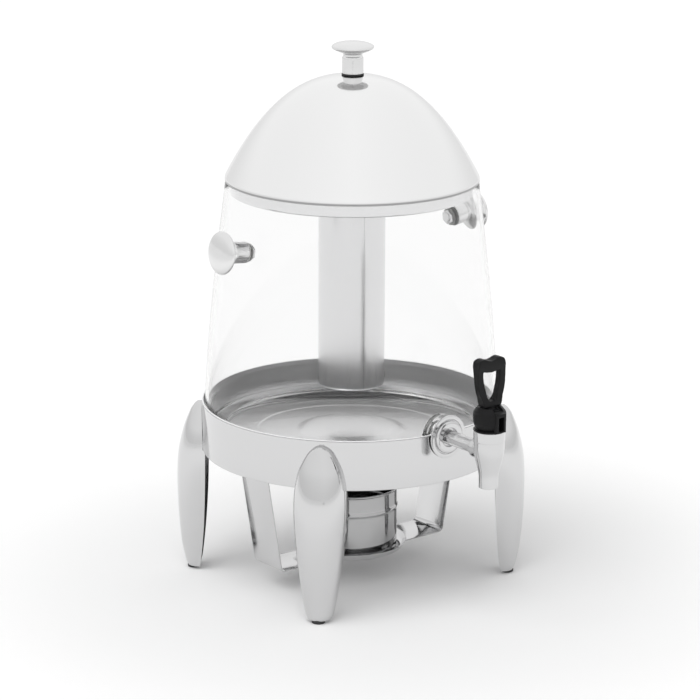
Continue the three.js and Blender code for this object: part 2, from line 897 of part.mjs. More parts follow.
function tankShell() {
  const outerWall = [];
  const innerWall = [];
  for (let station = 0; station <= tankStationCount; station += 1) {
    const height = tankCurveBottom + (tankTop - tankCurveBottom) * station / tankStationCount;
    outerWall.push([tankRadiusAt(height), height]);
    innerWall.push([tankRadiusAt(height) - tankWall, height]);
  }
  const mouthCap = tankTop + overrun;
  const footInner = tankFootRadius - tankFootWidth;
  const outside = revolve([
    [0, tankFloorUnderside],
    [footInner, tankFloorUnderside],
    [footInner, tankBottom],
    [tankFootRadius - tankChamfer, tankBottom],
    [tankFootRadius, tankBottom + tankChamfer],
    [tankFootRadius, tankStepBottom],
    [tankBodyRadius, tankStepTop],
    ...outerWall,
    [0, tankTop],
  ], roundSides);
  const cornerRadius = tankFootRadius - tankWall - tankInnerCorner;
  const cornerHeight = tankFloorTop + tankInnerCorner;
  const inside = revolve([
    [0, tankFloorTop],
    ...quarter(cornerRadius, cornerHeight, tankInnerCorner, -1, 0),
    [tankFootRadius - tankWall, tankStepBottom],
    [tankBodyRadius - tankWall, tankStepTop],
    ...innerWall,
    [tankMouthRadius - tankWall, mouthCap],
    [0, mouthCap],
  ], roundSides);
  const outsideSolid = toSolid(outside);
  const pad = disc(padRadius, padInner, tankBodyRadius, turnedSides);
  const recess = disc(padRecessRadius, padOuter, tankBodyRadius + overrun, turnedSides);
  const bore = disc(shankRadius + gap, padInner - overrun, tankBodyRadius, smallSides);
  for (const cylinder of [pad, recess, bore]) {
    cylinder.applyMatrix4(wallFrame(0, 0, shankHeight));
  }
  let tank = outsideSolid.subtract(toSolid(inside));
  tank = tank.add(toSolid(pad).intersect(outsideSolid));
  tank = tank.subtract(toSolid(recess)).subtract(toSolid(bore));
  for (const side of [-1, 1]) {
    const hole = disc(knobHoleRadius, -tankWall - 2 * overrun, overrun, boltSides);
    tank = tank.subtract(toSolid(hole.applyMatrix4(knobFrame(side))));
  }
  return piece('tank_shell', toGeometry(tank), 'clearPlastic');
}

// A turned knob with a blind bore for its stud, standing on z = 0
function knobGeometry() {
  return revolve([
    [0, knobBoreDepth],
    [knobHoleRadius, knobBoreDepth],
    [knobHoleRadius, 0],
    ...knobOutlineShares.map(([across, up]) => [across * knobRadius, up * knobHeight]),
  ], turnedSides);
}

function capNutGeometry(bottom) {
  const body = nut(capNutFlats, 0, bottom, capNutHeight);
  const domeRadius = capNutFlats / 2 - gap;
  const foot = bottom + capNutHeight / 2;
  const domeBase = bottom + capNutHeight;
  const dome = revolve([
    [0, foot],
    [domeRadius, foot],
    [domeRadius, domeBase],
    [domeRadius * Math.SQRT1_2, domeBase + capNutDome * Math.SQRT1_2],
    [0, domeBase + capNutDome],
  ], boltSides);
  const bore = disc(knobHoleRadius, bottom - overrun, bottom + capNutBore, boltSides);
  return shape(body, [dome], [bore]);
}

function addSideKnobs(tank) {
  const sides = [['left', -1], ['right', 1]];
  for (const [name, side] of sides) {
    const frame = new THREE.Group();
    frame.applyMatrix4(knobFrame(side));
    const inside = new THREE.Group();
    inside.rotation.y = Math.PI;
    const bow = apothem(tankRadiusAt(knobCentreHeight)) - tankWall;
    const sag = bow - Math.sqrt(bow ** 2 - sideWasherRadius ** 2);
    const washerBottom = tankWall + sag + gap;
    const nutBottom = washerBottom + sideWasherThickness + gap;
    const knobBottom = 2 * gap + knobSealThickness;
    const knob = piece(`side_knob_${name}`, knobGeometry(), 'satinSteel');
    knob.position.z = knobBottom;
    const seal = washer(knobHoleRadius, knobSealRadius, gap, gap + knobSealThickness, smallSides);
    const studTop = knobBottom + knobBoreDepth - gap;
    const stud = disc(knobStudRadius, gap - nutBottom - capNutBore, studTop, boltSides);
    const innerWasher = washer(
      knobHoleRadius,
      sideWasherRadius,
      washerBottom,
      washerBottom + sideWasherThickness,
      smallSides,
    );
    frame.add(
      knob,
      piece(`side_knob_seal_${name}`, seal, 'silicone'),
      piece(`side_knob_stud_${name}`, stud, 'satinSteel'),
      inside,
    );
    inside.add(
      piece(`side_knob_washer_${name}`, innerWasher, 'silicone'),
      piece(`side_knob_cap_nut_${name}`, capNutGeometry(nutBottom), 'polishedSteel'),
    );
    tank.add(frame);
  }
}

function escutcheonGeometry() {
  const plateTop = escutcheonThickness;
  const hubTop = escutcheonHubHeight;
  const hub = escutcheonHubRadius;
  const recess = escutcheonRecessRadius;
  const bore = shankRadius + gap;
  return revolve(loop([
    [bore, 0],
    [escutcheonRadius, 0],
    [escutcheonRadius, plateTop / 2],
    [escutcheonRadius - escutcheonRound, plateTop],
    [hub, plateTop],
    [hub, hubTop - escutcheonRound],
    [hub - escutcheonRound, hubTop],
    [recess, hubTop],
    [recess, plateTop],
    [bore, plateTop],
  ]), turnedSides);
}

// Seals, nut and escutcheon on the shank, along its axis outward from the tank's axis
function addShankPieces(tank) {
  const along = new THREE.Group();
  along.applyMatrix4(wallFrame(0, 0, shankHeight));
  const bore = shankRadius + gap;
  const escutcheon = piece('tap_escutcheon', escutcheonGeometry(), 'polishedSteel');
  escutcheon.position.z = ringFace + gap;
  const outerSeal = washer(bore, sealRadius, padOuter + gap, clampInner - gap, turnedSides);
  const innerSeal = washer(bore, sealRadius, innerSealInner, padInner - gap, turnedSides);
  const lockNut = nut(lockNutFlats, bore, lockNutInner, lockNutHeight, turnedSides);
  along.add(
    escutcheon,
    piece('tap_outer_seal', outerSeal, 'silicone'),
    piece('tap_inner_seal', innerSeal, 'silicone'),
    piece('tap_lock_nut', lockNut, 'satinSteel'),
  );
  tank.add(along);
}

// Turned body on the tap's own axis, with the shank towards the tank along +Y
function tapBody() {
  const rim = tapTopHeight - tapRimDrop;
  const spoutEnd = -tapSpoutLength;
  const outside = revolve([
    [0, spoutEnd],
    [tapSpoutRadius, spoutEnd],
    [tapSpoutRadius, spoutEnd + tapSpoutStraight],
    [tapTopRadius - tapRimStep, 0],
    [tapTopRadius - tapRimStep, rim],
    [tapTopRadius, rim + tapRimStep],
    [tapTopRadius, tapTopHeight],
    [0, tapTopHeight],
  ], turnedSides);
  const toTank = wallFrame(Math.PI, 0, 0);
  const shank = disc(shankRadius, 0, tapDistance - shankEnd, smallSides);
  const collar = disc(tapCollarRadius, 0, tapCollarReach, smallSides);
  const clampNear = tapDistance - clampOuter;
  const clamp = disc(clampRadius, clampNear, clampNear + clampThickness, turnedSides);
  const waterBore = disc(waterBoreRadius, 0, tapDistance - shankEnd + overrun, boltSides);
  for (const cylinder of [shank, collar, clamp, waterBore]) {
    cylinder.applyMatrix4(toTank);
  }
  const seatBottom = -tapSeatDrop - tapSeatThickness;
  const mouth = tapTopHeight - bonnetSkirtLength - gap;
  const hollow = revolve([
    [0, spoutEnd - overrun],
    [tapSpoutBoreRadius, spoutEnd - overrun],
    [tapSpoutBoreRadius, seatBottom],
    [tapSeatRadius, seatBottom],
    [tapSeatRadius, -tapSeatDrop],
    [tapChamberRadius, -tapSeatDrop],
    [tapChamberRadius, mouth],
    [bonnetSkirtRadius + gap, mouth],
    [bonnetSkirtRadius + gap, tapTopHeight + overrun],
    [0, tapTopHeight + overrun],
  ], turnedSides);
  const geometry = shape(outside, [shank, collar, clamp], [hollow, waterBore]);
  return piece('tap_body', geometry, 'polishedSteel');
}

function tapBonnet() {
  const flangeTop = bonnetBottom + bonnetFlangeHeight;
  const barrelBottom = flangeTop + bonnetNeckSlope;
  const skirtBottom = tapTopHeight - bonnetSkirtLength;
  const outside = revolve([
    [0, webUnderside],
    [springCavityRadius, webUnderside],
    [springCavityRadius, skirtBottom],
    [bonnetSkirtRadius, skirtBottom],
    [bonnetSkirtRadius, bonnetBottom],
    [bonnetFlangeRadius, bonnetBottom],
    [bonnetFlangeRadius, flangeTop],
    [bonnetNeckRadius, flangeTop],
    [bonnetRadius, barrelBottom],
    [bonnetRadius, barrelBottom + bonnetBarrelHeight],
    [bonnetHeadRadius, bonnetTop],
    [0, bonnetTop],
  ], turnedSides);

  // The boss in front of the barrel, whose falling top also cuts the head
  const [bendAcross, bendDown] = bonnetBossBendShares;
  const bossTop = [
    [bonnetBossRoot, bonnetTop - bonnetBossRootDrop],
    [
      bonnetBossRoot + bendAcross * (bonnetBossReach - bonnetBossRoot),
      bonnetTop - bonnetBossRootDrop - bendDown * (bonnetBossDrop - bonnetBossRootDrop),
    ],
    [bonnetBossReach, bonnetTop - bonnetBossDrop],
  ];
  const inFlange = flangeTop - bonnetFlangeHeight / 2;
  const boss = slab([
    [bonnetSkirtRadius, slotFloor],
    [bonnetBossRoot, slotFloor],
    ...bossTop,
    [bonnetBossReach, inFlange],
    [bonnetSkirtRadius, inFlange],
  ], bonnetBossWidth);
  const above = bonnetTop + overrun;
  const notch = slab([
    ...bossTop,
    [bonnetBossReach + overrun, bonnetTop - bonnetBossDrop],
    [bonnetBossReach + overrun, above],
    [bonnetBossRoot, above],
  ], bonnetBossWidth);

  // The blade's slot, open at the top, and its window under a bridge at the front
  const half = bladeThickness / 2 + gap;
  const bridgeUnderside = bonnetTop - bonnetBossDrop - bonnetBridgeHeight;
  const slot = block(
    [-half, bonnetBridgeDepth - bonnetBossReach, slotFloor],
    [half, bladeRadius + gap, above],
  );
  const window = block(
    [-half, -bonnetBossReach - overrun, flangeTop],
    [half, -springCavityRadius - bonnetFlangeHeight, bridgeUnderside],
  );
  for (const cut of [boss, notch]) {
    cut.rotateZ(-Math.PI / 2);
  }
  const stemHole = disc(stemRadius + gap, webUnderside - overrun, slotFloor + overrun, boltSides);
  const geometry = shape(outside, [boss], [notch, slot, window, stemHole]);
  return piece('tap_bonnet', geometry, 'blackPlastic');
}

function tapSpring() {
  const low = stemDiscTop + gap + springWire;
  const high = webUnderside - gap - springWire;
  const steps = springTurnCount * springStepCount;
  const sections = [];
  for (let step = 0; step <= steps; step += 1) {
    const angle = step / springStepCount * Math.PI * 2;
    const section = [];
    for (let side = 0; side < springWireSides; side += 1) {
      const turn = side / springWireSides * Math.PI * 2;
      const radius = springRadius + springWire * Math.sin(turn);
      const height = low + (high - low) * step / steps + springWire * Math.cos(turn);
      section.push(new THREE.Vector3(radius * Math.cos(angle), radius * Math.sin(angle), height));
    }
    sections.push(section);
  }
  return piece('tap_spring', loft(sections), 'satinSteel');
}

function tapStem() {
  const rodTop = pinHeight - bladeRadius - gap;
  const rod = revolve([
    [0, stemDiscBottom - stemTail],
    [stemRadius, stemDiscBottom - stemTail],
    [stemRadius, stemDiscBottom],
    [stemDiscRadius, stemDiscBottom],
    [stemDiscRadius, stemDiscTop],
    [stemRadius, stemDiscTop],
    [stemRadius, rodTop],
    [0, rodTop],
  ], boltSides);
  const tongue = block(
    [-eyeThickness / 2, -stemRadius / 2, rodTop - stemRadius],
    [eyeThickness / 2, stemRadius / 2, pinHeight],
  );
  const eye = disc(eyeRadius, -eyeThickness / 2, eyeThickness / 2, smallSides);
  const hole = disc(pinRadius + gap, -eyeThickness, eyeThickness, boltSides);
  for (const cylinder of [eye, hole]) {
    cylinder.rotateY(Math.PI / 2).translate(0, 0, pinHeight);
  }
  return piece('tap_stem', shape(rod, [tongue, eye], [hole]), 'satinSteel');
}

function seatCup() {
  const bore = stemRadius + gap;
  const boreBottom = stemDiscBottom - stemTail - gap;
  const profile = [
    [0, seatCupBottom],
    [seatCupRadius - gap, seatCupBottom],
    [seatCupRadius, seatCupBottom + gap],
    [seatCupRadius, seatCupTop - gap],
    [seatCupRadius - gap, seatCupTop],
    [bore, seatCupTop],
    [bore, boreBottom],
    [0, boreBottom],
  ];
  return piece('tap_seat_cup', revolve(profile, turnedSides), 'silicone');
}

function leverPin() {
  const half = bladeThickness / 2 - gap;
  const pin = disc(pinRadius, -half, half, boltSides);
  pin.rotateY(Math.PI / 2).translate(0, 0, pinHeight);
  return piece('lever_pin', pin, 'satinSteel');
}

// A closed outline from the right half's shares, mirrored to the left
function mirrored(shares) {
  const right = shares.map(([across, up]) => {
    return [across * leverWidth / 2, leverBottom + up * leverHeight];
  });
  const left = right.filter(([x]) => x > 0).map(([x, z]) => [-x, z]);
  return [...right, ...left.reverse()];
}

function tapLever() {
  const loopFace = slab(mirrored(leverOuterShares), 4 * leverDepth, [mirrored(leverHoleShares)]);
  const front = [];
  const back = [];
  for (const [up, deep, lean] of leverSideShares) {
    const height = leverBottom + up * leverHeight;
    front.push([lean * leverLean - deep * leverDepth / 2, height]);
    back.push([lean * leverLean + deep * leverDepth / 2, height]);
  }
  const side = slab([...back, ...front.reverse()], 2 * leverWidth).rotateZ(Math.PI / 2);
  const loopSolid = toSolid(loopFace).intersect(toSolid(side));
  const blade = block(
    [-bladeThickness / 2, -bladeRadius, pinHeight],
    [bladeThickness / 2, bladeRadius, leverBottom + bladeRoot],
  );
  const roundEnd = disc(bladeRadius, -bladeThickness / 2, bladeThickness / 2, turnedSides);
  const hole = disc(pinRadius + gap, -bladeThickness, bladeThickness, boltSides);
  for (const cylinder of [roundEnd, hole]) {
    cylinder.rotateY(Math.PI / 2).translate(0, 0, pinHeight);
  }
  const pocketHalf = eyeThickness / 2 + gap;
  const pocket = block(
    [-pocketHalf, -bladeDepth, pinHeight - bladeDepth],
    [pocketHalf, bladeDepth, pinHeight + eyeRadius + gap],
  );
  let lever = loopSolid.add(toSolid(blade)).add(toSolid(roundEnd));
  lever = lever.subtract(toSolid(pocket)).subtract(toSolid(hole));
  return piece('tap_lever', toGeometry(lever), 'blackPlastic');
}

function icePlate() {
  const collarInner = plateCollarRadius - plateWall;
  const profile = loop([
    [plateHoleRadius, plateBottom],
    [plateCollarRadius, plateBottom],
    [plateCollarRadius, plateFlangeBottom],
    [tankMouthRadius - plateFlangeOverhang, plateFlangeBottom],
    [tankMouthRadius - plateFlangeOverhang, plateFlangeTop],
    [collarInner, plateFlangeTop],
    [collarInner, plateBottom + plateWall],
    [plateHoleRadius, plateBottom + plateWall],
  ]);
  return piece('ice_plate', revolve(profile, roundSides), 'satinSteel');
}

function iceTube() {
  const bottom = tankFloorTop + iceTubeClearance;
  const inner = iceTubeRadius - iceTubeWall;
  const flangeRadius = iceTubeRadius + iceTubeFlange;
  const profile = [
    [0, bottom],
    [iceTubeRadius - iceTubeCorner, bottom],
    [iceTubeRadius, bottom + iceTubeCorner],
    [iceTubeRadius, iceTubeTop - iceTubeWall],
    [flangeRadius, iceTubeTop - iceTubeWall],
    [flangeRadius, iceTubeTop],
    [inner, iceTubeTop],
    [inner, bottom + iceTubeCorner],
    [inner - iceTubeCorner + iceTubeWall, bottom + iceTubeWall],
    [0, bottom + iceTubeWall],
  ];
  return piece('ice_tube', revolve(profile, turnedSides), 'satinSteel');
}

// Points of one face of the dome, from the skirt up to the flat seat and the screw hole
function domeFace(radius, rise) {
  const last = Math.acos(lidSeatRadius / radius);
  const points = [];
  for (let station = 0; station <= lidStationCount; station += 1) {
    const across = radius * Math.cos(last * station / lidStationCount);
    points.push([across, domeHeight(across, radius, rise)]);
  }
  const [, top] = points[points.length - 1];
  return [...points, [knobHoleRadius, top]];
}

function lidDome() {
  const lipOuter = plateCollarRadius - plateWall - lidLipPlay;
  const lipInner = lipOuter - lidWall;
  const profile = loop([
    [lipInner, lidBottom - lidLipDepth],
    [lipOuter, lidBottom - lidLipDepth],
    [lipOuter, lidBottom],
    [lidRadius, lidBottom],
    ...domeFace(lidRadius, lidRise),
    ...domeFace(lidRadius - lidWall, lidRise - lidWall).reverse(),
    [lidRadius - lidWall, lidBottom + lidWall],
    [lipInner, lidBottom + lidWall],
  ]);
  return piece('lid_dome', revolve(profile, roundSides), 'polishedSteel');
}

function addLidKnob(lid) {
  const gasketBottom = lidTop + gap;
  const knobBottom = gasketBottom + gasketThickness + gap;
  const knob = piece('lid_knob', knobGeometry(), 'satinSteel');
  knob.position.z = knobBottom;
  const gasket = washer(
    knobHoleRadius,
    gasketRadius,
    gasketBottom,
    gasketBottom + gasketThickness,
    turnedSides,
  );
  const washerTop = lidCeiling - gap;
  const washerBottom = washerTop - lidWasherThickness;
  const innerWasher = washer(knobHoleRadius, lidWasherRadius, washerBottom, washerTop, smallSides);
  const headTop = washerBottom - gap;
  const headBottom = headTop - lidScrewHeadHeight;
  const screw = revolve([
    [0, headBottom],
    [lidScrewHeadRadius / 2, headBottom],
    [lidScrewHeadRadius, headTop - lidScrewHeadHeight / 3],
    [lidScrewHeadRadius, headTop],
    [knobStudRadius, headTop],
    [knobStudRadius, knobBottom + knobBoreDepth - gap],
    [0, knobBottom + knobBoreDepth - gap],
  ], boltSides);
  lid.add(
    knob,
    piece('lid_knob_gasket', gasket, 'rubber'),
    piece('lid_knob_washer', innerWasher, 'satinSteel'),
    piece('lid_knob_screw', screw, 'satinSteel'),
  );
}

const dispenser = new THREE.Group();

const stand = new THREE.Group();
stand.add(baseRing(), basePan());
addLegs(stand);
stand.add(burnerBracket(), ...bracketNuts(), burnerDish(), dishRivet());

const burner = new THREE.Group();
burner.add(burnerCup());

const tank = new THREE.Group();
tank.add(tankShell());
addSideKnobs(tank);
addShankPieces(tank);

const tap = new THREE.Group();
tap.position.set(0, -tapDistance, shankHeight);
tap.add(tapBody(), tapBonnet(), tapSpring(), tapStem(), seatCup(), leverPin(), tapLever());
tank.add(tap);

const insert = new THREE.Group();
insert.add(icePlate(), iceTube());

const lid = new THREE.Group();
lid.add(lidDome());
addLidKnob(lid);

dispenser.add(stand, burner, tank, insert, lid);

const whole = new THREE.Box3().setFromObject(dispenser);
const middle = whole.getCenter(new THREE.Vector3());
dispenser.position.set(-middle.x, -middle.y, -whole.min.z);

export default dispenser;
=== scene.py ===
"""Looks of the drink dispenser: fine surfaces, materials, floor, light and camera.

Profiles are in millimetres round the tank's axis, z from the ground, the tap towards -Y.
"""

import math

import bpy
from mathutils import Matrix, Vector

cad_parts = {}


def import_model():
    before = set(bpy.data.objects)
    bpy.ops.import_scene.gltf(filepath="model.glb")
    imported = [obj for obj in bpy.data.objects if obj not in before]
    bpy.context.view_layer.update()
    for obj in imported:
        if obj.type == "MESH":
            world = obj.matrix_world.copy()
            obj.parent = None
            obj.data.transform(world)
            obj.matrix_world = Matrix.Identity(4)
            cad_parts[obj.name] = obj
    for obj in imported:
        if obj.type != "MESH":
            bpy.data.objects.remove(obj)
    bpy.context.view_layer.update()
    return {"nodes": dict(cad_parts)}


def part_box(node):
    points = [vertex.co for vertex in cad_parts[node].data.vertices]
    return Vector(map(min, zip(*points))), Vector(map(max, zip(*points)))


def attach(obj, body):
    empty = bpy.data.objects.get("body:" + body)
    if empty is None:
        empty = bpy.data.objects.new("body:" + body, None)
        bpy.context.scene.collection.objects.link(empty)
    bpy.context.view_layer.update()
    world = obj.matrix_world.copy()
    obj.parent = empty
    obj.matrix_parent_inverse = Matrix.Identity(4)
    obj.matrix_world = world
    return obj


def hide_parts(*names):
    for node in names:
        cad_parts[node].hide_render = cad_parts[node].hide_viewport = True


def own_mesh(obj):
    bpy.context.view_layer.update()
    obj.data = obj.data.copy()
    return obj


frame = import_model()

MM = 0.001
LID_LOW, LID_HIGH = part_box("lid_dome")
AXIS_Y = (LID_LOW.y + LID_HIGH.y) / 2 / MM
STEM_LOW, STEM_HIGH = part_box("tap_stem")
TAP_DISTANCE = AXIS_Y - (STEM_LOW.y + STEM_HIGH.y) / 2 / MM
SHANK_Z = 177.0
GAP = 0.3

ROUND_STEPS = 192
TURNED_STEPS = 72
SMALL_STEPS = 32
ARC_STEPS = 5
SHARP_ANGLE = math.radians(32)
BEVEL_ANGLE = math.radians(50)

# Camera, fitted to points of the photograph
LENS_PIXELS = 3000.0
FRAME_PIXELS = 700.0
SENSOR = 36.0
CAMERA_DISTANCE = 2883.646
CAMERA_HEIGHT = 1031.668
CAMERA_PITCH = 0.271
CAMERA_ROLL = 0.005
CAMERA_CENTRE_PIXEL = 351.356
CAMERA_AZIMUTH = math.radians(38.5)
CLIP_END = 60.0

# Weld seam of the ice tube
SEAM_ANGLE = math.radians(17)
SEAM_WIDTH = 0.01


def arc_corner(before, corner, after, radius):
    """Points that round one corner of a profile."""
    here = Vector(corner)
    back = Vector(before) - here
    ahead = Vector(after) - here
    reach = min(radius, back.length * 0.49, ahead.length * 0.49)
    start = here + back.normalized() * reach
    end = here + ahead.normalized() * reach
    points = []
    for step in range(ARC_STEPS + 1):
        t = step / ARC_STEPS
        points.append(start * (1 - t) ** 2 + here * 2 * t * (1 - t) + end * t ** 2)
    return [tuple(point) for point in points]


def rounded(corners, closed=False):
    """A profile of (r, z) or (r, z, rounding) corners, with the roundings drawn."""
    flat = [(corner[0], corner[1]) for corner in corners]
    count = len(flat)
    points = []
    for place, corner in enumerate(corners):
        rounding = corner[2] if len(corner) > 2 else 0
        inner = closed or 0 < place < count - 1
        if rounding > 0 and inner:
            points += arc_corner(flat[place - 1], flat[place], flat[(place + 1) % count], rounding)
        else:
            points.append(flat[place])
    if closed:
        points.append(points[0])
    return points


def revolve(profile, steps):
    """Vertices and faces of a profile turned about +Z; points on the axis become one vertex."""
    verts = []
    faces = []
    rings = []
    closed = profile[0] == profile[-1] and profile[0][0] > 0
    points = profile[:-1] if closed else profile
    for radius, height in points:
        start = len(verts)
        if radius < 1e-6:
            verts.append(Vector((0, 0, height)))
            rings.append([start] * steps)
            continue
        for step in range(steps):
            angle = 2 * math.pi * step / steps
            verts.append(Vector((radius * math.sin(angle), -radius * math.cos(angle), height)))
        rings.append([start + step for step in range(steps)])
    pairs = list(zip(rings, rings[1:]))
    if closed:
        pairs.append((rings[-1], rings[0]))
    for low, high in pairs:
        for step in range(steps):
            after = (step + 1) % steps
            face = [low[step], low[after], high[after], high[step]]
            kept = [v for place, v in enumerate(face) if v != face[place - 1]]
            if len(kept) > 2:
                faces.append(kept)
    return verts, faces


def disc(radius, bottom, top, steps=SMALL_STEPS, edge=0.0):
    """A closed cylinder about +Z with rounded rims."""
    corners = [(0, bottom), (radius, bottom, edge), (radius, top, edge), (0, top)]
    return revolve(rounded(corners), steps)


def washer(inner, outer, bottom, top, steps=SMALL_STEPS, edge=0.0):
    """A flat ring about +Z with rounded rims."""
    corners = [(inner, bottom, edge), (outer, bottom, edge), (outer, top, edge), (inner, top, edge)]
    return revolve(rounded(corners, closed=True), steps)


def block(low, high):
    """A box between two corners."""
    x0, y0, z0 = low
    x1, y1, z1 = high
    corners = ((x0, y0), (x1, y0), (x1, y1), (x0, y1))
    verts = [Vector((x, y, z)) for z in (z0, z1) for x, y in corners]
    faces = [[3, 2, 1, 0], [4, 5, 6, 7], [0, 1, 5, 4], [1, 2, 6, 5], [2, 3, 7, 6], [3, 0, 4, 7]]
    return verts, faces


def slab(outline, width):
    """An outline of (x, z) pairs, counterclockwise, given a width along Y."""
    count = len(outline)
    front = [Vector((x, -width / 2, z)) for x, z in outline]
    back = [Vector((x, width / 2, z)) for x, z in outline]
    faces = [list(range(count)), list(range(2 * count - 1, count - 1, -1))]
    for place in range(count):
        after = (place + 1) % count
        faces.append([after, place, count + place, count + after])
    return front + back, faces


def loft(sections):
    """A closed skin through outlines that have the same number of points, lowest first."""
    count = len(sections[0])
    verts = [point for section in sections for point in section]
    faces = [list(range(count - 1, -1, -1))]
    for level in range(len(sections) - 1):
        for side in range(count):
            here = level * count + side
            after = level * count + (side + 1) % count
            faces.append([here, after, after + count, here + count])
    top = (len(sections) - 1) * count
    faces.append([top + side for side in range(count)])
    return verts, faces


def moved(shape, matrix):
    verts, faces = shape
    return [matrix @ vert for vert in verts], faces


def wall_frame(angle, distance, height):
    """A place on a wall whose +Z points outward from the axis at an angle from -Y."""
    turn = Matrix.Rotation(angle, 4, "Z")
    out = Matrix.Translation((0, -distance, height))
    return turn @ out @ Matrix.Rotation(math.pi / 2, 4, "X")


def mesh_object(name, shape):
    """An object in metres from a shape in millimetres round the tank's axis."""
    verts, faces = shape
    mesh = bpy.data.meshes.new(name)
    placed = [(vert.x * MM, (vert.y + AXIS_Y) * MM, vert.z * MM) for vert in verts]
    mesh.from_pydata(placed, [], faces)
    mesh.validate()
    mesh.update()
    made = bpy.data.objects.new(name, mesh)
    bpy.context.scene.collection.objects.link(made)
    return made


def baked(made):
    """Replaces an object's mesh by what its modifiers make of it."""
    graph = bpy.context.evaluated_depsgraph_get()
    mesh = bpy.data.meshes.new_from_object(made.evaluated_get(graph))
    made.modifiers.clear()
    made.data = mesh
    return made


def bevelled(made, width):
    """Breaks the sharp edges of an object."""
    bevel = made.modifiers.new("edges", "BEVEL")
    bevel.width = width * MM
    bevel.segments = 2
    bevel.limit_method = "ANGLE"
    bevel.angle_limit = BEVEL_ANGLE
    return baked(made)


def merge(made, tool, operation):
    """Boolean of two objects, of which the second is used up."""
    modifier = made.modifiers.new("combine", "BOOLEAN")
    modifier.object = tool
    modifier.operation = operation
    modifier.solver = "EXACT"
    baked(made)
    bpy.data.objects.remove(tool)
    return made


def combine(made, shape, operation):
    return merge(made, mesh_object("tool", shape), operation)


def cut(made, *shapes):
    for shape in shapes:
        combine(made, shape, "DIFFERENCE")
    return made


def add(made, *shapes):
    for shape in shapes:
        combine(made, shape, "UNION")
    return made


def dress(made, body, material, nodes):
    """Smooth shading, a material and a body for a finished piece."""
    mesh = made.data
    mesh.polygons.foreach_set("use_smooth", [True] * len(mesh.polygons))
    mesh.set_sharp_from_angle(angle=SHARP_ANGLE)
    mesh.materials.clear()
    mesh.materials.append(material)
    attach(made, body)
    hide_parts(*nodes)
    return made


def fine(node, shape, body, material):
    """A dressed piece that replaces one CAD node."""
    return dress(mesh_object("fine_" + node, shape), body, material, [node])


# Materials

NOISE_SPAN = (0.3, 0.7)
SATIN_COLOUR = (0.76, 0.76, 0.765)
WELD_COLOUR = (0.62, 0.62, 0.625)
# Grey of the painted shade line along the lid's bottom edge
PAINTED_LINE_SHADE = 0.36
FLOOR_SHADE = 0.9


def principled(name, colour, metallic, roughness):
    material = bpy.data.materials.new(name)
    material.use_nodes = True
    nodes = material.node_tree.nodes
    shader = nodes["Principled BSDF"]
    shader.inputs["Base Color"].default_value = (*colour, 1)
    shader.inputs["Metallic"].default_value = metallic
    shader.inputs["Roughness"].default_value = roughness
    return material, nodes, material.node_tree.links, shader


def math_node(nodes, links, operation, first, second):
    node = nodes.new("ShaderNodeMath")
    node.operation = operation
    for socket, value in zip(node.inputs, (first, second)):
        if isinstance(value, (int, float)):
            socket.default_value = value
        else:
            links.new(value, socket)
    return node.outputs[0]


def range_node(nodes, links, value, source, target, curve="SMOOTHSTEP"):
    """Maps one range of a value to another."""
    node = nodes.new("ShaderNodeMapRange")
    node.interpolation_type = curve
    node.inputs["From Min"].default_value, node.inputs["From Max"].default_value = source
    node.inputs["To Min"].default_value, node.inputs["To Max"].default_value = target
    links.new(value, node.inputs["Value"])
    return node.outputs["Result"]


def angle_strip(nodes, links, place, heading, width):
    """1 in a narrow upright strip at a heading round +Z from -Y, towards -X."""
    turn = nodes.new("ShaderNodeVectorRotate")
    turn.rotation_type = "Z_AXIS"
    turn.inputs["Angle"].default_value = heading
    links.new(place, turn.inputs["Vector"])
    parts = nodes.new("ShaderNodeSeparateXYZ")
    links.new(turn.outputs["Vector"], parts.inputs["Vector"])
    ahead = math_node(nodes, links, "MULTIPLY", parts.outputs["Y"], -1.0)
    aside = math_node(nodes, links, "ARCTAN2", parts.outputs["X"], ahead)
    aside = math_node(nodes, links, "ABSOLUTE", aside, 0.0)
    return range_node(nodes, links, aside, (width * 0.6, width * 1.6), (1.0, 0.0))


def texture(nodes, links, scale, stretch=(1, 1, 1), detail=3.0):
    """Noise in the object's own coordinates, stretched along its axes."""
    place = nodes.new("ShaderNodeTexCoord")
    mapping = nodes.new("ShaderNodeMapping")
    mapping.inputs["Scale"].default_value = stretch
    noise = nodes.new("ShaderNodeTexNoise")
    noise.inputs["Scale"].default_value = scale
    noise.inputs["Detail"].default_value = detail
    links.new(place.outputs["Object"], mapping.inputs["Vector"])
    links.new(mapping.outputs["Vector"], noise.inputs["Vector"])
    return noise.outputs["Fac"]


def spread(nodes, links, noise, low, high):
    """Maps the usual span of a noise value to a narrow range."""
    return range_node(nodes, links, noise, NOISE_SPAN, (low, high), "LINEAR")


def grey(nodes, links, value, socket):
    """Feeds one value to a colour socket."""
    colour = nodes.new("ShaderNodeCombineColor")
    for channel in colour.inputs:
        links.new(value, channel)
    links.new(colour.outputs["Color"], socket)


def bump(nodes, links, shader, value, strength, distance):
    node = nodes.new("ShaderNodeBump")
    node.inputs["Strength"].default_value = strength
    node.inputs["Distance"].default_value = distance
    links.new(value, node.inputs["Height"])
    links.new(node.outputs["Normal"], shader.inputs["Normal"])


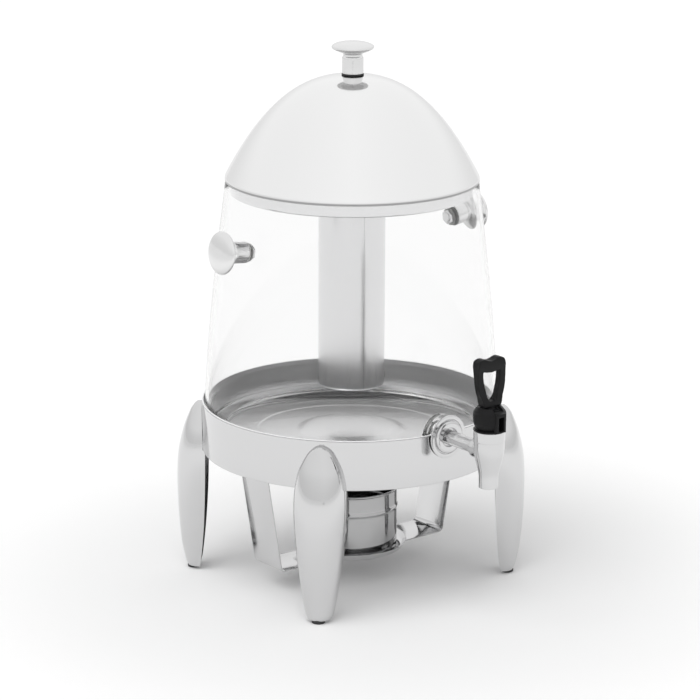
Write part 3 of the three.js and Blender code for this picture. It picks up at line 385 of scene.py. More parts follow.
def polished_steel(name, shade, dark_band=None, rough=(0.08, 0.13), metallic=1.0):
    """Mirror steel, painted darker below a height span where one is given, as painted shade."""
    material, nodes, links, shader = principled(name, (shade, shade, shade * 1.005), metallic, 0.1)
    # Base colour ramps down to a dark grey below the given heights: painted shade
    if dark_band:
        parts = nodes.new("ShaderNodeSeparateXYZ")
        links.new(nodes.new("ShaderNodeTexCoord").outputs["Object"], parts.inputs["Vector"])
        heights = (dark_band[0] * MM, dark_band[1] * MM)
        ramp = range_node(nodes, links, parts.outputs["Z"], heights, (PAINTED_LINE_SHADE, shade), "LINEAR")
        grey(nodes, links, ramp, shader.inputs["Base Color"])
    haze = texture(nodes, links, 22.0)
    links.new(spread(nodes, links, haze, *rough), shader.inputs["Roughness"])
    fine_lines = texture(nodes, links, 60.0, (1, 1, 6), 2.0)
    bump(nodes, links, shader, fine_lines, 0.02, 0.0002)
    return material


def satin_steel():
    """Brushed steel with a weld seam down the ice tube."""
    material, nodes, links, shader = principled("satin_steel", SATIN_COLOUR, 1.0, 0.25)
    place = nodes.new("ShaderNodeTexCoord")
    centred = nodes.new("ShaderNodeVectorMath")
    centred.operation = "SUBTRACT"
    centred.inputs[1].default_value = (0, AXIS_Y * MM, 0)
    links.new(place.outputs["Object"], centred.inputs[0])
    dark_band = angle_strip(nodes, links, centred.outputs["Vector"], SEAM_ANGLE, SEAM_WIDTH)
    colour = nodes.new("ShaderNodeMix")
    colour.data_type = "RGBA"
    colour.inputs["A"].default_value = (*SATIN_COLOUR, 1)
    colour.inputs["B"].default_value = (*WELD_COLOUR, 1)
    links.new(dark_band, colour.inputs["Factor"])
    links.new(colour.outputs["Result"], shader.inputs["Base Color"])
    lines = texture(nodes, links, 700.0, (1, 1, 0.02), 3.0)
    links.new(spread(nodes, links, lines, 0.2, 0.27), shader.inputs["Roughness"])
    bump(nodes, links, shader, lines, 0.015, 0.0001)
    return material


def turned_steel():
    """Bright turned steel, painted darker on the undersides as painted shade."""
    material, nodes, links, shader = principled("turned_steel", (0.78, 0.78, 0.785), 1.0, 0.16)
    # Base colour darker on faces that point down: painted shade
    facing = nodes.new("ShaderNodeSeparateXYZ")
    links.new(nodes.new("ShaderNodeNewGeometry").outputs["Normal"], facing.inputs["Vector"])
    shade = range_node(nodes, links, facing.outputs["Z"], (-0.75, 0.05), (0.46, 0.8))
    grey(nodes, links, shade, shader.inputs["Base Color"])
    haze = texture(nodes, links, 300.0, (1, 1, 1), 2.0)
    links.new(spread(nodes, links, haze, 0.12, 0.2), shader.inputs["Roughness"])
    bump(nodes, links, shader, haze, 0.03, 0.0001)
    return material


def clear_plastic():
    """Clear plastic with a slight ripple; its low index keeps the walls as faint as the photograph's."""
    material, nodes, links, shader = principled("clear_plastic", (0.957, 0.957, 0.957), 0.0, 0.0)
    shader.inputs["Transmission Weight"].default_value = 1.0
    shader.inputs["IOR"].default_value = 1.2
    wave = texture(nodes, links, 14.0, (1, 1, 1), 1.0)
    links.new(spread(nodes, links, wave, 0.0, 0.02), shader.inputs["Roughness"])
    return material


def black_plastic():
    """Moulded black plastic with a fine grain."""
    material, nodes, links, shader = principled("black_plastic", (0.006, 0.006, 0.0065), 0.0, 0.42)
    shader.inputs["Specular IOR Level"].default_value = 0.2
    grain = texture(nodes, links, 1500.0, (1, 1, 1), 2.0)
    links.new(spread(nodes, links, grain, 0.36, 0.5), shader.inputs["Roughness"])
    bump(nodes, links, shader, grain, 0.15, 0.0001)
    return material


def black_rubber():
    """Matte rubber of the feet and the knob's gasket."""
    material, nodes, links, shader = principled("black_rubber", (0.03, 0.03, 0.031), 0.0, 0.75)
    grain = texture(nodes, links, 900.0, (1, 1, 1), 3.0)
    links.new(spread(nodes, links, grain, 0.65, 0.85), shader.inputs["Roughness"])
    bump(nodes, links, shader, grain, 0.25, 0.0002)
    return material


def pale_silicone():
    """Milky silicone of the seals."""
    material, nodes, links, shader = principled("pale_silicone", (0.88, 0.88, 0.87), 0.0, 0.5)
    grain = texture(nodes, links, 700.0, (1, 1, 1), 2.0)
    links.new(spread(nodes, links, grain, 0.45, 0.6), shader.inputs["Roughness"])
    shader.inputs["Transmission Weight"].default_value = 0.5
    return material


STEEL = polished_steel("polished_steel", 0.65)
# The pan's steel is rougher, and its lighter, partly diffuse base colour is painted light that brightens
# the pan inside the tank
LIT_PAN_STEEL = polished_steel("lit_pan_steel", 0.97, rough=(0.34, 0.4), metallic=0.85)
PLATE_STEEL = polished_steel("plate_steel", 0.78)
# The fuel cup's steel is a darker copy of the polished steel: painted shade for the cup under the base
SHADED_CUP_STEEL = polished_steel("shaded_cup_steel", 0.46)
# The lid's steel is painted dark below 407.8 mm, over the skirt's lowest part and the inner lip: painted
# shade along the lid's bottom edge
LID_STEEL = polished_steel("lid_steel", 0.88, (407.0, 407.8))
SATIN = satin_steel()
TURNED = turned_steel()
CLEAR = clear_plastic()
BLACK = black_plastic()
RUBBER = black_rubber()
SILICONE = pale_silicone()

# Levels of the stand
LEG_BOTTOM = 3.3
LEG_HEIGHT = 172.3
RING_TOP = 180.3
RING_BOTTOM = 131.3
RIM_TOP = 181.6
FLOOR_TOP = 146.9
STEP_TOP = 147.5
RING_RADIUS = 149.4
RING_INNER = 148.8
PAN_OUTER = 148.6
PAN_INNER = 147.6
WALL = 1.0
SLOT_RADIUS = 7.5
SLOT_DEPTH = 16.0
LEG_ANGLE = math.radians(49.56)
LEGS = [
    ("front_left", -LEG_ANGLE),
    ("front_right", LEG_ANGLE),
    ("rear_left", LEG_ANGLE - math.pi),
    ("rear_right", math.pi - LEG_ANGLE),
]
UPPER_SCREW_Z = 165.0
LOWER_SCREW_Z = 139.5
BOLT_HOLE = 2.8
WASHER_FACE = 146.84
LOWER_HEAD_FACE = 148.0
SCREW_RADIUS = 2.5
SCREW_PAST_BOSS = 4.5
PAD_OUT = 6.9
STRAP_WALL = 1.2
STRAP_WIDTH = 44.0
STUD_HOLE = 2.8
STUD_PLACES = [(x, y) for x in (-115.0, 115.0) for y in (-13.0, 13.0)]


def shank_slot():
    """The slot, open at the top, through which the tap's shank comes down."""
    far = RING_RADIUS + 2
    hole = moved(disc(SLOT_RADIUS, -SLOT_DEPTH, 0, TURNED_STEPS), wall_frame(0, far, SHANK_Z))
    opening = block((-SLOT_RADIUS, -far, SHANK_Z), (SLOT_RADIUS, SLOT_DEPTH - far, RIM_TOP + 2))
    return [hole, opening]


def bolt_holes(height):
    far = RING_RADIUS + 2
    return [moved(disc(BOLT_HOLE, -8, 0), wall_frame(angle, far, height)) for _, angle in LEGS]


def base_ring():
    """The outer band with a lip turned in at its bottom."""
    lip = 144.0
    corners = [
        (lip, RING_BOTTOM, 0.3),
        (RING_RADIUS, RING_BOTTOM, 1.2),
        (RING_RADIUS, RING_TOP),
        (RING_INNER, RING_TOP),
        (RING_INNER, RING_BOTTOM + WALL, 0.6),
        (lip, RING_BOTTOM + WALL, 0.3),
    ]
    ring = mesh_object("fine_base_ring", revolve(rounded(corners, closed=True), ROUND_STEPS))
    cut(ring, *shank_slot(), *bolt_holes(UPPER_SCREW_Z), *bolt_holes(LOWER_SCREW_Z))
    dress(ring, "stand", STEEL, ["base_ring"])


def base_pan():
    """The pan with its raised centre, a step, a rim over the ring and four studs below."""
    corners = [
        (0, FLOOR_TOP + 4),
        (24, FLOOR_TOP + 3.7, 8),
        (44, FLOOR_TOP + 2.6, 6),
        (54, FLOOR_TOP - WALL, 3),
        (93, FLOOR_TOP - WALL, 0.8),
        (95, STEP_TOP - WALL, 0.8),
        (PAN_OUTER, STEP_TOP - WALL, 5),
        (PAN_OUTER, RING_TOP + GAP, 0.3),
        (RING_RADIUS, RING_TOP + GAP, 0.4),
        (RING_RADIUS, RIM_TOP, 0.6),
        (PAN_INNER, RIM_TOP, 0.8),
        (PAN_INNER, STEP_TOP, 5),
        (95, STEP_TOP, 0.8),
        (93, FLOOR_TOP, 0.8),
        (54, FLOOR_TOP, 3),
        (44, FLOOR_TOP + 3.6, 6),
        (24, FLOOR_TOP + 4.7, 8),
        (0, FLOOR_TOP + 5),
    ]
    pan = mesh_object("fine_base_pan", revolve(rounded(corners), ROUND_STEPS))
    studs = [moved(disc(2.5, 139.2, STEP_TOP - 0.5, SMALL_STEPS, 0.3), Matrix.Translation((x, y, 0)))
             for x, y in STUD_PLACES]
    add(pan, *studs)
    cut(pan, *shank_slot(), *bolt_holes(UPPER_SCREW_Z))
    dress(pan, "stand", LIT_PAN_STEEL, ["base_pan"])


# A leg's height, width and depth shares from its toe to its crown
LEG_SHARES = [
    (0, 0.56, 0.47),
    (0.03, 0.66, 0.55),
    (0.17, 0.857, 0.7),
    (0.45, 0.99, 0.93),
    (0.68, 0.96, 1),
    (0.84, 0.72, 0.86),
    (0.95, 0.4, 0.52),
    (0.985, 0.22, 0.3),
    (1, 0.1, 0.1),
]
LEG_WIDTH = 51.5
LEG_DEPTH = 23.0
LEG_WALL = 1.2
LEG_BACK = 152.3
LEG_LEVELS = 48
LEG_ARC = 36
LEG_POWER = 0.91


def smooth_shares(table, share):
    """Depth and width shares at a height share, on a smooth curve through the table."""
    last = len(table) - 1
    place = 0
    while place < last - 1 and share > table[place + 1][0]:
        place += 1
    here, after = table[place], table[place + 1]
    before = table[max(place - 1, 0)]
    beyond = table[min(place + 2, last)]
    span = after[0] - here[0]
    t = (share - here[0]) / span
    values = []
    for column in (1, 2):
        slope_in = (after[column] - before[column]) / (after[0] - before[0]) * span
        slope_out = (beyond[column] - here[column]) / (beyond[0] - here[0]) * span
        value = (2 * t ** 3 - 3 * t ** 2 + 1) * here[column]
        value += (t ** 3 - 2 * t ** 2 + t) * slope_in
        value += (3 * t ** 2 - 2 * t ** 3) * after[column]
        value += (t ** 3 - t ** 2) * slope_out
        values.append(value)
    return values


def leg_section(width, depth, height, reach):
    """A leg's outline at a height: a bulge outward and two straight walls inward."""
    points = []
    for step in range(LEG_ARC + 1):
        angle = math.pi * (1 - step / LEG_ARC)
        cosine, sine = math.cos(angle), math.sin(angle)
        ends = step in (0, LEG_ARC)
        across = math.copysign(1 if ends else abs(cosine) ** LEG_POWER, cosine)
        out = 0 if ends else abs(sine) ** LEG_POWER
        points.append(Vector((across * width / 2, -LEG_BACK - out * depth, height)))
    points.insert(0, Vector((-width / 2, reach - LEG_BACK, height)))
    points.append(Vector((width / 2, reach - LEG_BACK, height)))
    return points


def leg_reach(height):
    """How far a leg's side walls run back past its flat back, under the ring."""
    share = min(max((height - LEG_BOTTOM) / (RING_BOTTOM - LEG_BOTTOM), 0), 1)
    return 0.2 + 6.8 * (1 - (1 - share) ** 2.5)


def leg_skin(wall, bottom, height, past):
    """The leg's outer form, or with a wall given its hollow."""
    sections = []
    for level in range(LEG_LEVELS + 1):
        share = 0.5 - 0.5 * math.cos(math.pi * level / LEG_LEVELS)
        depth_share, width_share = smooth_shares(LEG_SHARES, share)
        width = width_share * LEG_WIDTH
        depth = depth_share * LEG_DEPTH
        width = max(width - 2 * wall, width * 0.3) if wall else width
        depth = max(depth - wall, depth * 0.3) if wall else depth
        level_z = bottom + share * height
        sections.append(leg_section(width, depth, level_z, leg_reach(level_z) + past))
    return loft(sections)


def leg_mesh():
    """A hollow leg at the front with a plate and two bosses for its screws."""
    toe, crown = 6.0, 2.5
    leg = mesh_object("leg_form", leg_skin(0, LEG_BOTTOM, LEG_HEIGHT, 0))
    plate = block((-LEG_WIDTH, -LEG_BACK - 3, 133), (LEG_WIDTH, -LEG_BACK, 172))
    notch = disc(RING_RADIUS + GAP, RING_BOTTOM - GAP, RIM_TOP + 5, ROUND_STEPS)
    fitted = mesh_object("leg_plate", leg_skin(0, LEG_BOTTOM, LEG_HEIGHT, 0))
    combine(fitted, plate, "INTERSECT")
    cut(leg, leg_skin(LEG_WALL, LEG_BOTTOM + toe, LEG_HEIGHT - toe - crown, 2))
    merge(leg, fitted, "UNION")
    cut(leg, notch)
    for height in (UPPER_SCREW_Z, LOWER_SCREW_Z):
        place = wall_frame(0, LEG_BACK, height)
        add(leg, moved(disc(7, -2, 1.5, SMALL_STEPS, 0.3), place))
        cut(leg, moved(disc(BOLT_HOLE, -4, 5), place))
    mesh = leg.data
    bpy.data.objects.remove(leg)
    return mesh


def leg_screws(place, angle):
    head = [(0, -1.8), (3.4, -1.7, 0.6), (5.5, -0.5, 0.5), (5.5, 0, 0.2), (SCREW_RADIUS, 0)]
    for name, out, height in (("upper", WASHER_FACE - 1.1, UPPER_SCREW_Z),
                              ("lower", LOWER_HEAD_FACE, LOWER_SCREW_Z)):
        end = LEG_BACK + SCREW_PAST_BOSS - out
        screw = rounded(head + [(SCREW_RADIUS, end, 0.4), (0, end)])
        shape = moved(revolve(screw, SMALL_STEPS), wall_frame(angle, out, height))
        fine(f"{name}_leg_screw_{place}", shape, "stand", TURNED)
    ring = moved(washer(BOLT_HOLE, 8, -0.8, 0, SMALL_STEPS, 0.2),
                 wall_frame(angle, WASHER_FACE, UPPER_SCREW_Z))
    fine("leg_screw_washer_" + place, ring, "stand", TURNED)


def stand_corners():
    """Each corner's leg, foot pad, screws and washer."""
    mesh = leg_mesh()
    centre = Matrix.Translation((0, AXIS_Y * MM, 0))
    pad = [(0, 0), (6.1, 0, 0.4), (6.5, 0.4, 0.2), (6.5, 3, 0.3), (2.5, 3), (2.5, 7.6, 0.3), (0, 7.6)]
    for place, angle in LEGS:
        turn = Matrix.Rotation(angle, 4, "Z")
        leg = bpy.data.objects.new("fine_leg_" + place, mesh.copy())
        bpy.context.scene.collection.objects.link(leg)
        leg.data.transform(centre @ turn @ centre.inverted())
        dress(leg, "stand", STEEL, ["leg_" + place])
        pad_place = turn @ Matrix.Translation((0, -LEG_BACK - PAD_OUT, 0))
        pad_shape = moved(revolve(rounded(pad), SMALL_STEPS), pad_place)
        fine("foot_pad_" + place, pad_shape, "stand", RUBBER)
        leg_screws(place, angle)


def strap_outline():
    """The bent strap from tab to tab, its outer face first."""
    corners = [(-107, 146.2), (-125, 146.2, 6), (-104, 23.6, 6),
               (104, 23.6, 6), (125, 146.2, 6), (107, 146.2)]
    line = [Vector(point) for point in rounded(corners)]
    inner = []
    for place, point in enumerate(line):
        before = line[max(place - 1, 0)]
        after = line[min(place + 1, len(line) - 1)]
        into = (point - before).normalized() if place else (after - point).normalized()
        out = (after - point).normalized() if place < len(line) - 1 else into
        middle = into + out
        stretch = STRAP_WALL / (1 + into.dot(out))
        inner.append(Vector((point.x - middle.y * stretch, point.y + middle.x * stretch)))
    return [tuple(point) for point in line + inner[::-1]]


def burner_parts():
    """The strap, the dish riveted to it and the fuel cup."""
    strap = mesh_object("fine_burner_bracket", slab(strap_outline(), STRAP_WIDTH))
    holes = [moved(disc(STUD_HOLE, 140, 150), Matrix.Translation((x, y, 0))) for x, y in STUD_PLACES]
    cut(strap, *holes, disc(STUD_HOLE, 20, 28))
    bevelled(strap, 0.35)
    dress(strap, "stand", STEEL, ["burner_bracket"])
    dish = [(STUD_HOLE, 25.1), (49, 25.1, 5), (53, 27.1, 4), (57, 33.1, 0.3),
            (56.2, 33.1, 0.3), (52.2, 27.9, 4), (48.2, 25.9, 5), (STUD_HOLE, 25.9)]
    dish_shape = revolve(rounded(dish, closed=True), ROUND_STEPS)
    fine("burner_dish", dish_shape, "stand", STEEL)
    rivet = [(0, 21.8), (3.6, 21.9, 0.8), (5, 23.3, 0.2), (2.5, 23.3), (2.5, 26.2), (5, 26.2, 0.2),
             (3.2, 27.5, 0.9), (0, 27.7)]
    fine("dish_rivet", revolve(rounded(rivet), SMALL_STEPS), "stand", TURNED)
    cup = [(0, 29.2), (28, 29.2, 1.5), (31, 26.2, 1.5), (44, 26.2, 1.5), (47, 29.2, 1.5), (47, 68.4, 1),
           (48, 70.8, 1.5), (47, 73.2, 1), (47, 88.4, 0.5), (48.2, 89.6, 0.8), (47.6, 90.8, 0.8),
           (46, 90.8, 0.6), (46, 73.4, 1), (46.9, 70.8, 1), (46, 68.2, 1), (46, 29.2, 1.5),
           (44, 27.2, 1.5), (31, 27.2, 1.5), (28, 30.2, 1.5), (0, 30.2)]
    fine("burner_cup", revolve(rounded(cup), ROUND_STEPS), "burner", SHADED_CUP_STEEL)


# Levels of the tank
TANK_BOTTOM = 147.8
TANK_TOP = 405.3
TANK_FOOT = 143.0
TANK_BODY = 146.6
TANK_MOUTH = 124.7
TANK_WALL = 3.2
TANK_CURVE = 182.0
TANK_POWER = 1.39
TANK_ROUND = 0.998
PAD_OUTER = 141.1
PAD_INNER = 135.1
SHANK_HOLE = 7.3
STUD_BORE = 3.3
NUT_FLATS = 13.0
KNOB_DROP = 55.3
KNOB_SEAT = 10.5
# The side knobs sit on flats of the solid tank, which has 36 sides
FLAT_SHARE = math.cos(math.radians(5))


def tank_radius(height):
    """The outer radius of the tank's wall."""
    share = max(height - TANK_CURVE, 0) / (TANK_TOP - TANK_CURVE)
    return TANK_BODY - (TANK_BODY - TANK_MOUTH) * share ** TANK_POWER


KNOB_Z = TANK_TOP - KNOB_DROP
KNOB_TILT = math.atan2(tank_radius(KNOB_Z - KNOB_SEAT) - tank_radius(KNOB_Z + KNOB_SEAT), 2 * KNOB_SEAT)


def knob_frame(side):
    """A side knob's place on the wall, +Z outward."""
    place = Matrix.Translation((side * tank_radius(KNOB_Z) * FLAT_SHARE, 0, KNOB_Z))
    return place @ Matrix.Rotation(side * (math.pi / 2 - KNOB_TILT), 4, "Y")


def tank_shell():
    """The clear tank with its foot, the pad for the tap and the holes."""
    stations = 24
    heights = [TANK_CURVE + (TANK_TOP - TANK_CURVE) * step / stations for step in range(1, stations)]
    outer = [(tank_radius(height) * TANK_ROUND, height) for height in heights]
    inner = [(radius - TANK_WALL, height) for radius, height in outer]
    corners = [
        (0, 153.3),
        (126, 153.3, 1.5),
        (126, TANK_BOTTOM, 0.6),
        (TANK_FOOT, TANK_BOTTOM, 3),
        (TANK_FOOT, 176.1, 2),
        (TANK_BODY * TANK_ROUND, 179.1, 2),
        *outer,
        (TANK_MOUTH, TANK_TOP, 0.8),
        (TANK_MOUTH - TANK_WALL, TANK_TOP, 0.8),
        *inner[::-1],
        (TANK_BODY * TANK_ROUND - TANK_WALL, 179.1, 2),
        (TANK_FOOT - TANK_WALL, 176.1, 2),
        (TANK_FOOT - TANK_WALL, 156.3, 4),
        (0, 156.3),
    ]
    tank = mesh_object("fine_tank_shell", revolve(rounded(corners), ROUND_STEPS))
    place = wall_frame(0, 0, SHANK_Z)
    add(tank, moved(disc(20, PAD_INNER, PAD_OUTER - 0.5, TURNED_STEPS, 0.6), place))
    cut(tank, moved(disc(17, PAD_OUTER, TANK_BODY + 2, TURNED_STEPS), place))
    cut(tank, moved(disc(SHANK_HOLE, PAD_INNER - 2, TANK_BODY, TURNED_STEPS), place))
    for side in (-1, 1):
        cut(tank, moved(disc(STUD_BORE, -8, 3), knob_frame(side)))
    dress(tank, "tank", CLEAR, ["tank_shell"])


def knob_shape():
    """A bored stem, a neck and a lens shaped head."""
    corners = [(0, 14), (STUD_BORE, 14), (STUD_BORE, 0), (KNOB_SEAT, 0, 0.5), (KNOB_SEAT, 15.7, 1.4),
               (9.3, 17.6, 0.8), (9.3, 19.2, 0.8), (11.8, 20.5, 1.4), (17, 22.5, 2), (20.2, 24.4, 1.2),
               (21, 25.9, 0.8), (20.2, 27.4, 1.2), (16.8, 29.2, 2.4), (11.2, 30.6, 3), (5, 31.25, 3),
               (0, 31.3)]
    return revolve(rounded(corners), TURNED_STEPS)


def cap_nut_shape(bottom):
    """A hexagon and the dome that closes it."""
    corner = NUT_FLATS / math.sqrt(3)
    turns = [turn * math.pi / 3 for turn in range(6)]
    hexagon = [Vector((corner * math.cos(turn), corner * math.sin(turn), 0)) for turn in turns]
    body = loft([[point + Vector((0, 0, height)) for point in hexagon] for height in (bottom, bottom + 3)])
    dome = [(0, bottom + 1.5), (6.1, bottom + 1.5), (6.1, bottom + 3, 0.3), (4.4, bottom + 4.1, 1.6),
            (0, bottom + 4.5)]
    return body, revolve(rounded(dome), SMALL_STEPS)


def side_knobs():
    for name, side in (("left", -1), ("right", 1)):
        place = knob_frame(side)
        inward = place @ Matrix.Rotation(math.pi, 4, "Y")
        knob = moved(knob_shape(), place @ Matrix.Translation((0, 0, 1.6)))
        fine("side_knob_" + name, knob, "tank", TURNED)
        seal = moved(washer(STUD_BORE, 10.4, 0.3, 1.3, TURNED_STEPS, 0.3), place)
        fine("side_knob_seal_" + name, seal, "tank", SILICONE)
        ring = moved(washer(STUD_BORE, 9, 3.8, 4.9, TURNED_STEPS, 0.4), inward)
        fine("side_knob_washer_" + name, ring, "tank", SILICONE)
        body, dome = cap_nut_shape(5.2)
        nut = mesh_object("fine_side_knob_cap_nut_" + name, moved(body, inward))
        add(nut, moved(dome, inward))
        cut(nut, moved(disc(STUD_BORE, 3, 8.8), inward))
        dress(nut, "tank", STEEL, ["side_knob_cap_nut_" + name])


def shank_pieces():
    """The escutcheon outside the ring and the two seals of the tap's shank."""
    place = wall_frame(0, 0, SHANK_Z)
    face = ESCUTCHEON_FACE + GAP
    corners = [(SHANK_HOLE, 0), (21.3, 0, 0.3), (21.3, 1.2, 0.5), (17.4, 1.6, 0.5), (16.9, 0.6, 0.2),
               (16.2, 0.6, 0.2), (15.7, 3.4, 1), (13.8, 4.2, 0.8), (9.6, 4.2, 0.8), (9, 3.4, 0.5),
               (9, 1.2), (SHANK_HOLE, 1.2)]
    ring = revolve(rounded(corners, closed=True), ROUND_STEPS)
    ring = moved(ring, place @ Matrix.Translation((0, 0, face)))
    fine("tap_escutcheon", ring, "tank", STEEL)
    for node in ("tap_outer_seal", "tap_inner_seal"):
        low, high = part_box(node)
        seal = washer(SHANK_HOLE, 13, AXIS_Y - high.y / MM, AXIS_Y - low.y / MM, TURNED_STEPS, 0.5)
        fine(node, moved(seal, place), "tank", SILICONE)


# Tap and lever, whose profiles start from the middle of the shank
ESCUTCHEON_FACE = 149.43
CLAMP_FACE = 146.2
VOXEL = 0.35
SOFTEN_ROUNDS = 14
TAP_PLACE = Matrix.Translation((0, -TAP_DISTANCE, SHANK_Z))


def tap_body():
    """The spout and chamber with the arm, the flange and the hollow shank."""
    low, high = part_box("tap_body")
    shank_length = high.y / MM - (AXIS_Y - TAP_DISTANCE)
    corners = [
        (0, -35.5),
        (9.3, -35.5, 0.5),
        (9.4, -22.5, 4),
        (14.7, -1, 6),
        (14.8, 10.9, 0.4),
        (15.1, 11.6, 0.4),
        (15.1, 21.4, 0.8),
        (0, 21.4),
    ]
    body = mesh_object("fine_tap_body", moved(revolve(rounded(corners), ROUND_STEPS), TAP_PLACE))
    tank_way = TAP_PLACE @ Matrix.Rotation(-math.pi / 2, 4, "X")
    clamp = TAP_DISTANCE - CLAMP_FACE
    add(body, moved(disc(10, 0, 19.5, TURNED_STEPS, 1.0), tank_way))
    add(body, moved(disc(7, 0, shank_length, TURNED_STEPS, 0.4), tank_way))
    add(body, moved(disc(12, clamp, clamp + 1.4, TURNED_STEPS, 0.2), tank_way))
    hollow = [(0, -37.5), (7.5, -37.5), (7.5, -17), (6, -17), (6, -10), (10, -10), (10, 13),
              (12.5, 13), (12.5, 23), (0, 23)]
    cut(body, moved(revolve(hollow, TURNED_STEPS), TAP_PLACE))
    cut(body, moved(disc(4.5, 0, shank_length + 2, SMALL_STEPS), tank_way))
    dress(body, "tank", STEEL, ["tap_body"])


def tap_bonnet():
    """The black cap with its front boss, the notch on top and the slots for the lever."""
    corners = [
        (0, 21.3),
        (9, 21.3),
        (9, 13.3),
        (12.2, 13.3, 0.3),
        (12.2, 21.7),
        (15.5, 21.7, 0.4),
        (15.5, 22.9, 0.4),
        (13, 23.1, 0.2),
        (15.8, 29.6, 2),
        (15.8, 40, 2),
        (11.6, 45, 0.8),
        (0, 45),
    ]
    bonnet = mesh_object("fine_tap_bonnet", moved(revolve(rounded(corners), ROUND_STEPS), TAP_PLACE))
    ahead = TAP_PLACE @ Matrix.Rotation(-math.pi / 2, 4, "Z")
    top = [(17.25, 40.7), (15, 41), (12.9, 41.7), (9, 42.7), (5.5, 43.9)]
    boss = [(12.2, 22.3), (17.25, 22.3), *top, (5.5, 25), (12.2, 25)]
    notch = [*top[::-1], (19.3, 40.7), (19.3, 47), (5.5, 47)]
    add(bonnet, moved(slab(boss, 11.2), ahead))
    cut(bonnet, moved(slab(notch, 11.2), ahead))
    cut(bonnet, moved(block((-3.3, -11, 23.5), (3.3, 5.3, 47)), TAP_PLACE))
    cut(bonnet, moved(block((-3.3, -19.3, 23.4), (3.3, -10.2, 37.4)), TAP_PLACE))
    cut(bonnet, moved(disc(2.8, 18, 25), TAP_PLACE))
    bevelled(bonnet, 0.4)
    dress(bonnet, "tank", BLACK, ["tap_bonnet"])


LEVER_BOTTOM = 45.3
# Width and height shares of the loop's outline and window, right half, upwards
LEVER_OUTER = [(0.57, 0), (0.61, 0.05), (0.74, 0.187), (0.87, 0.3), (0.96, 0.45), (1, 0.64), (0.99, 0.78),
               (0.96, 0.88), (0.88, 0.955), (0.73, 0.99), (0.5, 1), (0.25, 0.965), (0, 0.945)]
LEVER_HOLE = [(0, 0.115), (0.2, 0.125), (0.33, 0.2), (0.43, 0.34), (0.51, 0.45), (0.57, 0.56), (0.6, 0.66),
              (0.58, 0.735), (0.35, 0.72), (0, 0.705)]
# Height, depth and lean shares of the loop seen from the side
LEVER_SIDE = [(0, 1, 0), (0.1, 1, 0.02), (0.24, 0.7, 0.08), (0.45, 0.64, 0.28), (0.7, 0.7, 0.6),
              (0.84, 0.95, 0.82), (0.95, 1, 0.98), (1, 0.86, 1)]
LEVER_WIDTH = 34.6
LEVER_HEIGHT = 47.0
LEVER_DEPTH = 10.0
LEVER_LEAN = 2.0
LEVER_PIN = 38.0
CURVE_STEPS = 5


def curved(points):
    """Points on a smooth curve through an open line of points."""
    line = []
    for place in range(len(points) - 1):
        before = Vector(points[max(place - 1, 0)])
        here, after = Vector(points[place]), Vector(points[place + 1])
        beyond = Vector(points[min(place + 2, len(points) - 1)])
        for step in range(CURVE_STEPS):
            t = step / CURVE_STEPS
            point = here * 2 + (after - before) * t + (before * 2 - here * 5 + after * 4 - beyond) * t ** 2
            line.append(tuple((point + (here * 3 - before - after * 3 + beyond) * t ** 3) / 2))
    return [*line, points[-1]]


def mirrored(shares):
    """A closed outline from the right half of one."""
    right = [(across * LEVER_WIDTH / 2, LEVER_BOTTOM + up * LEVER_HEIGHT)
             for across, up in curved(shares)]
    left = [(-x, z) for x, z in right if x > 0]
    return right + left[::-1]


def tap_lever():
    """The lever's loop, with the blade and the round end that turn on the pin."""
    lever = mesh_object("fine_tap_lever", moved(slab(mirrored(LEVER_OUTER), 40), TAP_PLACE))
    cut(lever, moved(slab(mirrored(LEVER_HOLE), 60), TAP_PLACE))
    sides = []
    for face in (-1, 1):
        line = [(lean * LEVER_LEAN + face * deep * LEVER_DEPTH / 2, LEVER_BOTTOM + up * LEVER_HEIGHT)
                for up, deep, lean in LEVER_SIDE]
        sides.append(curved(line))
    side = moved(slab(sides[1] + sides[0][::-1], 60), TAP_PLACE @ Matrix.Rotation(math.pi / 2, 4, "Z"))
    combine(lever, side, "INTERSECT")
    blade = block((-3, -5, LEVER_PIN), (3, 5, LEVER_BOTTOM + 1.5))
    across = Matrix.Translation((0, 0, LEVER_PIN)) @ Matrix.Rotation(math.pi / 2, 4, "Y")
    toe = block((-3, -10.3, LEVER_PIN + 0.5), (3, 0, LEVER_BOTTOM - 2.2))
    add(lever, moved(blade, TAP_PLACE), moved(toe, TAP_PLACE))
    add(lever, moved(disc(5, -3, 3, TURNED_STEPS), TAP_PLACE @ across))
    remesh = lever.modifiers.new("remesh", "REMESH")
    remesh.mode = "VOXEL"
    remesh.voxel_size = VOXEL * MM
    soften = lever.modifiers.new("soften", "SMOOTH")
    soften.factor = 0.5
    soften.iterations = SOFTEN_ROUNDS
    baked(lever)
    cut(lever, moved(block((-1.5, -10, 28), (1.5, 10, 42.3)), TAP_PLACE))
    cut(lever, moved(disc(1.5, -5, 5), TAP_PLACE @ across))
    dress(lever, "lever", BLACK, ["tap_lever"])


def insert_parts():
    """The ring shaped tray in the tank's mouth and the ice tube."""
    plate = [
        (33.6, 393, 0.3),
        (120, 393, 2),
        (120, 405.6, 1),
        (124.3, 405.6, 0.3),
        (124.3, 406.5, 0.3),
        (119.1, 406.5, 1.5),
        (119.1, 393.9, 1.4),
        (33.6, 393.9, 0.3),
    ]
    plate_shape = revolve(rounded(plate, closed=True), ROUND_STEPS)
    fine("ice_plate", plate_shape, "insert", PLATE_STEEL)
    tube = [
        (0, 196.9),
        (33, 196.9, 3),
        (33, 394.2, 0.4),
        (37, 394.2, 0.3),
        (37, 395.2, 0.3),
        (32, 395.2, 1),
        (32, 197.9, 2.5),
        (0, 197.9),
    ]
    fine("ice_tube", revolve(rounded(tube), ROUND_STEPS), "insert", SATIN)


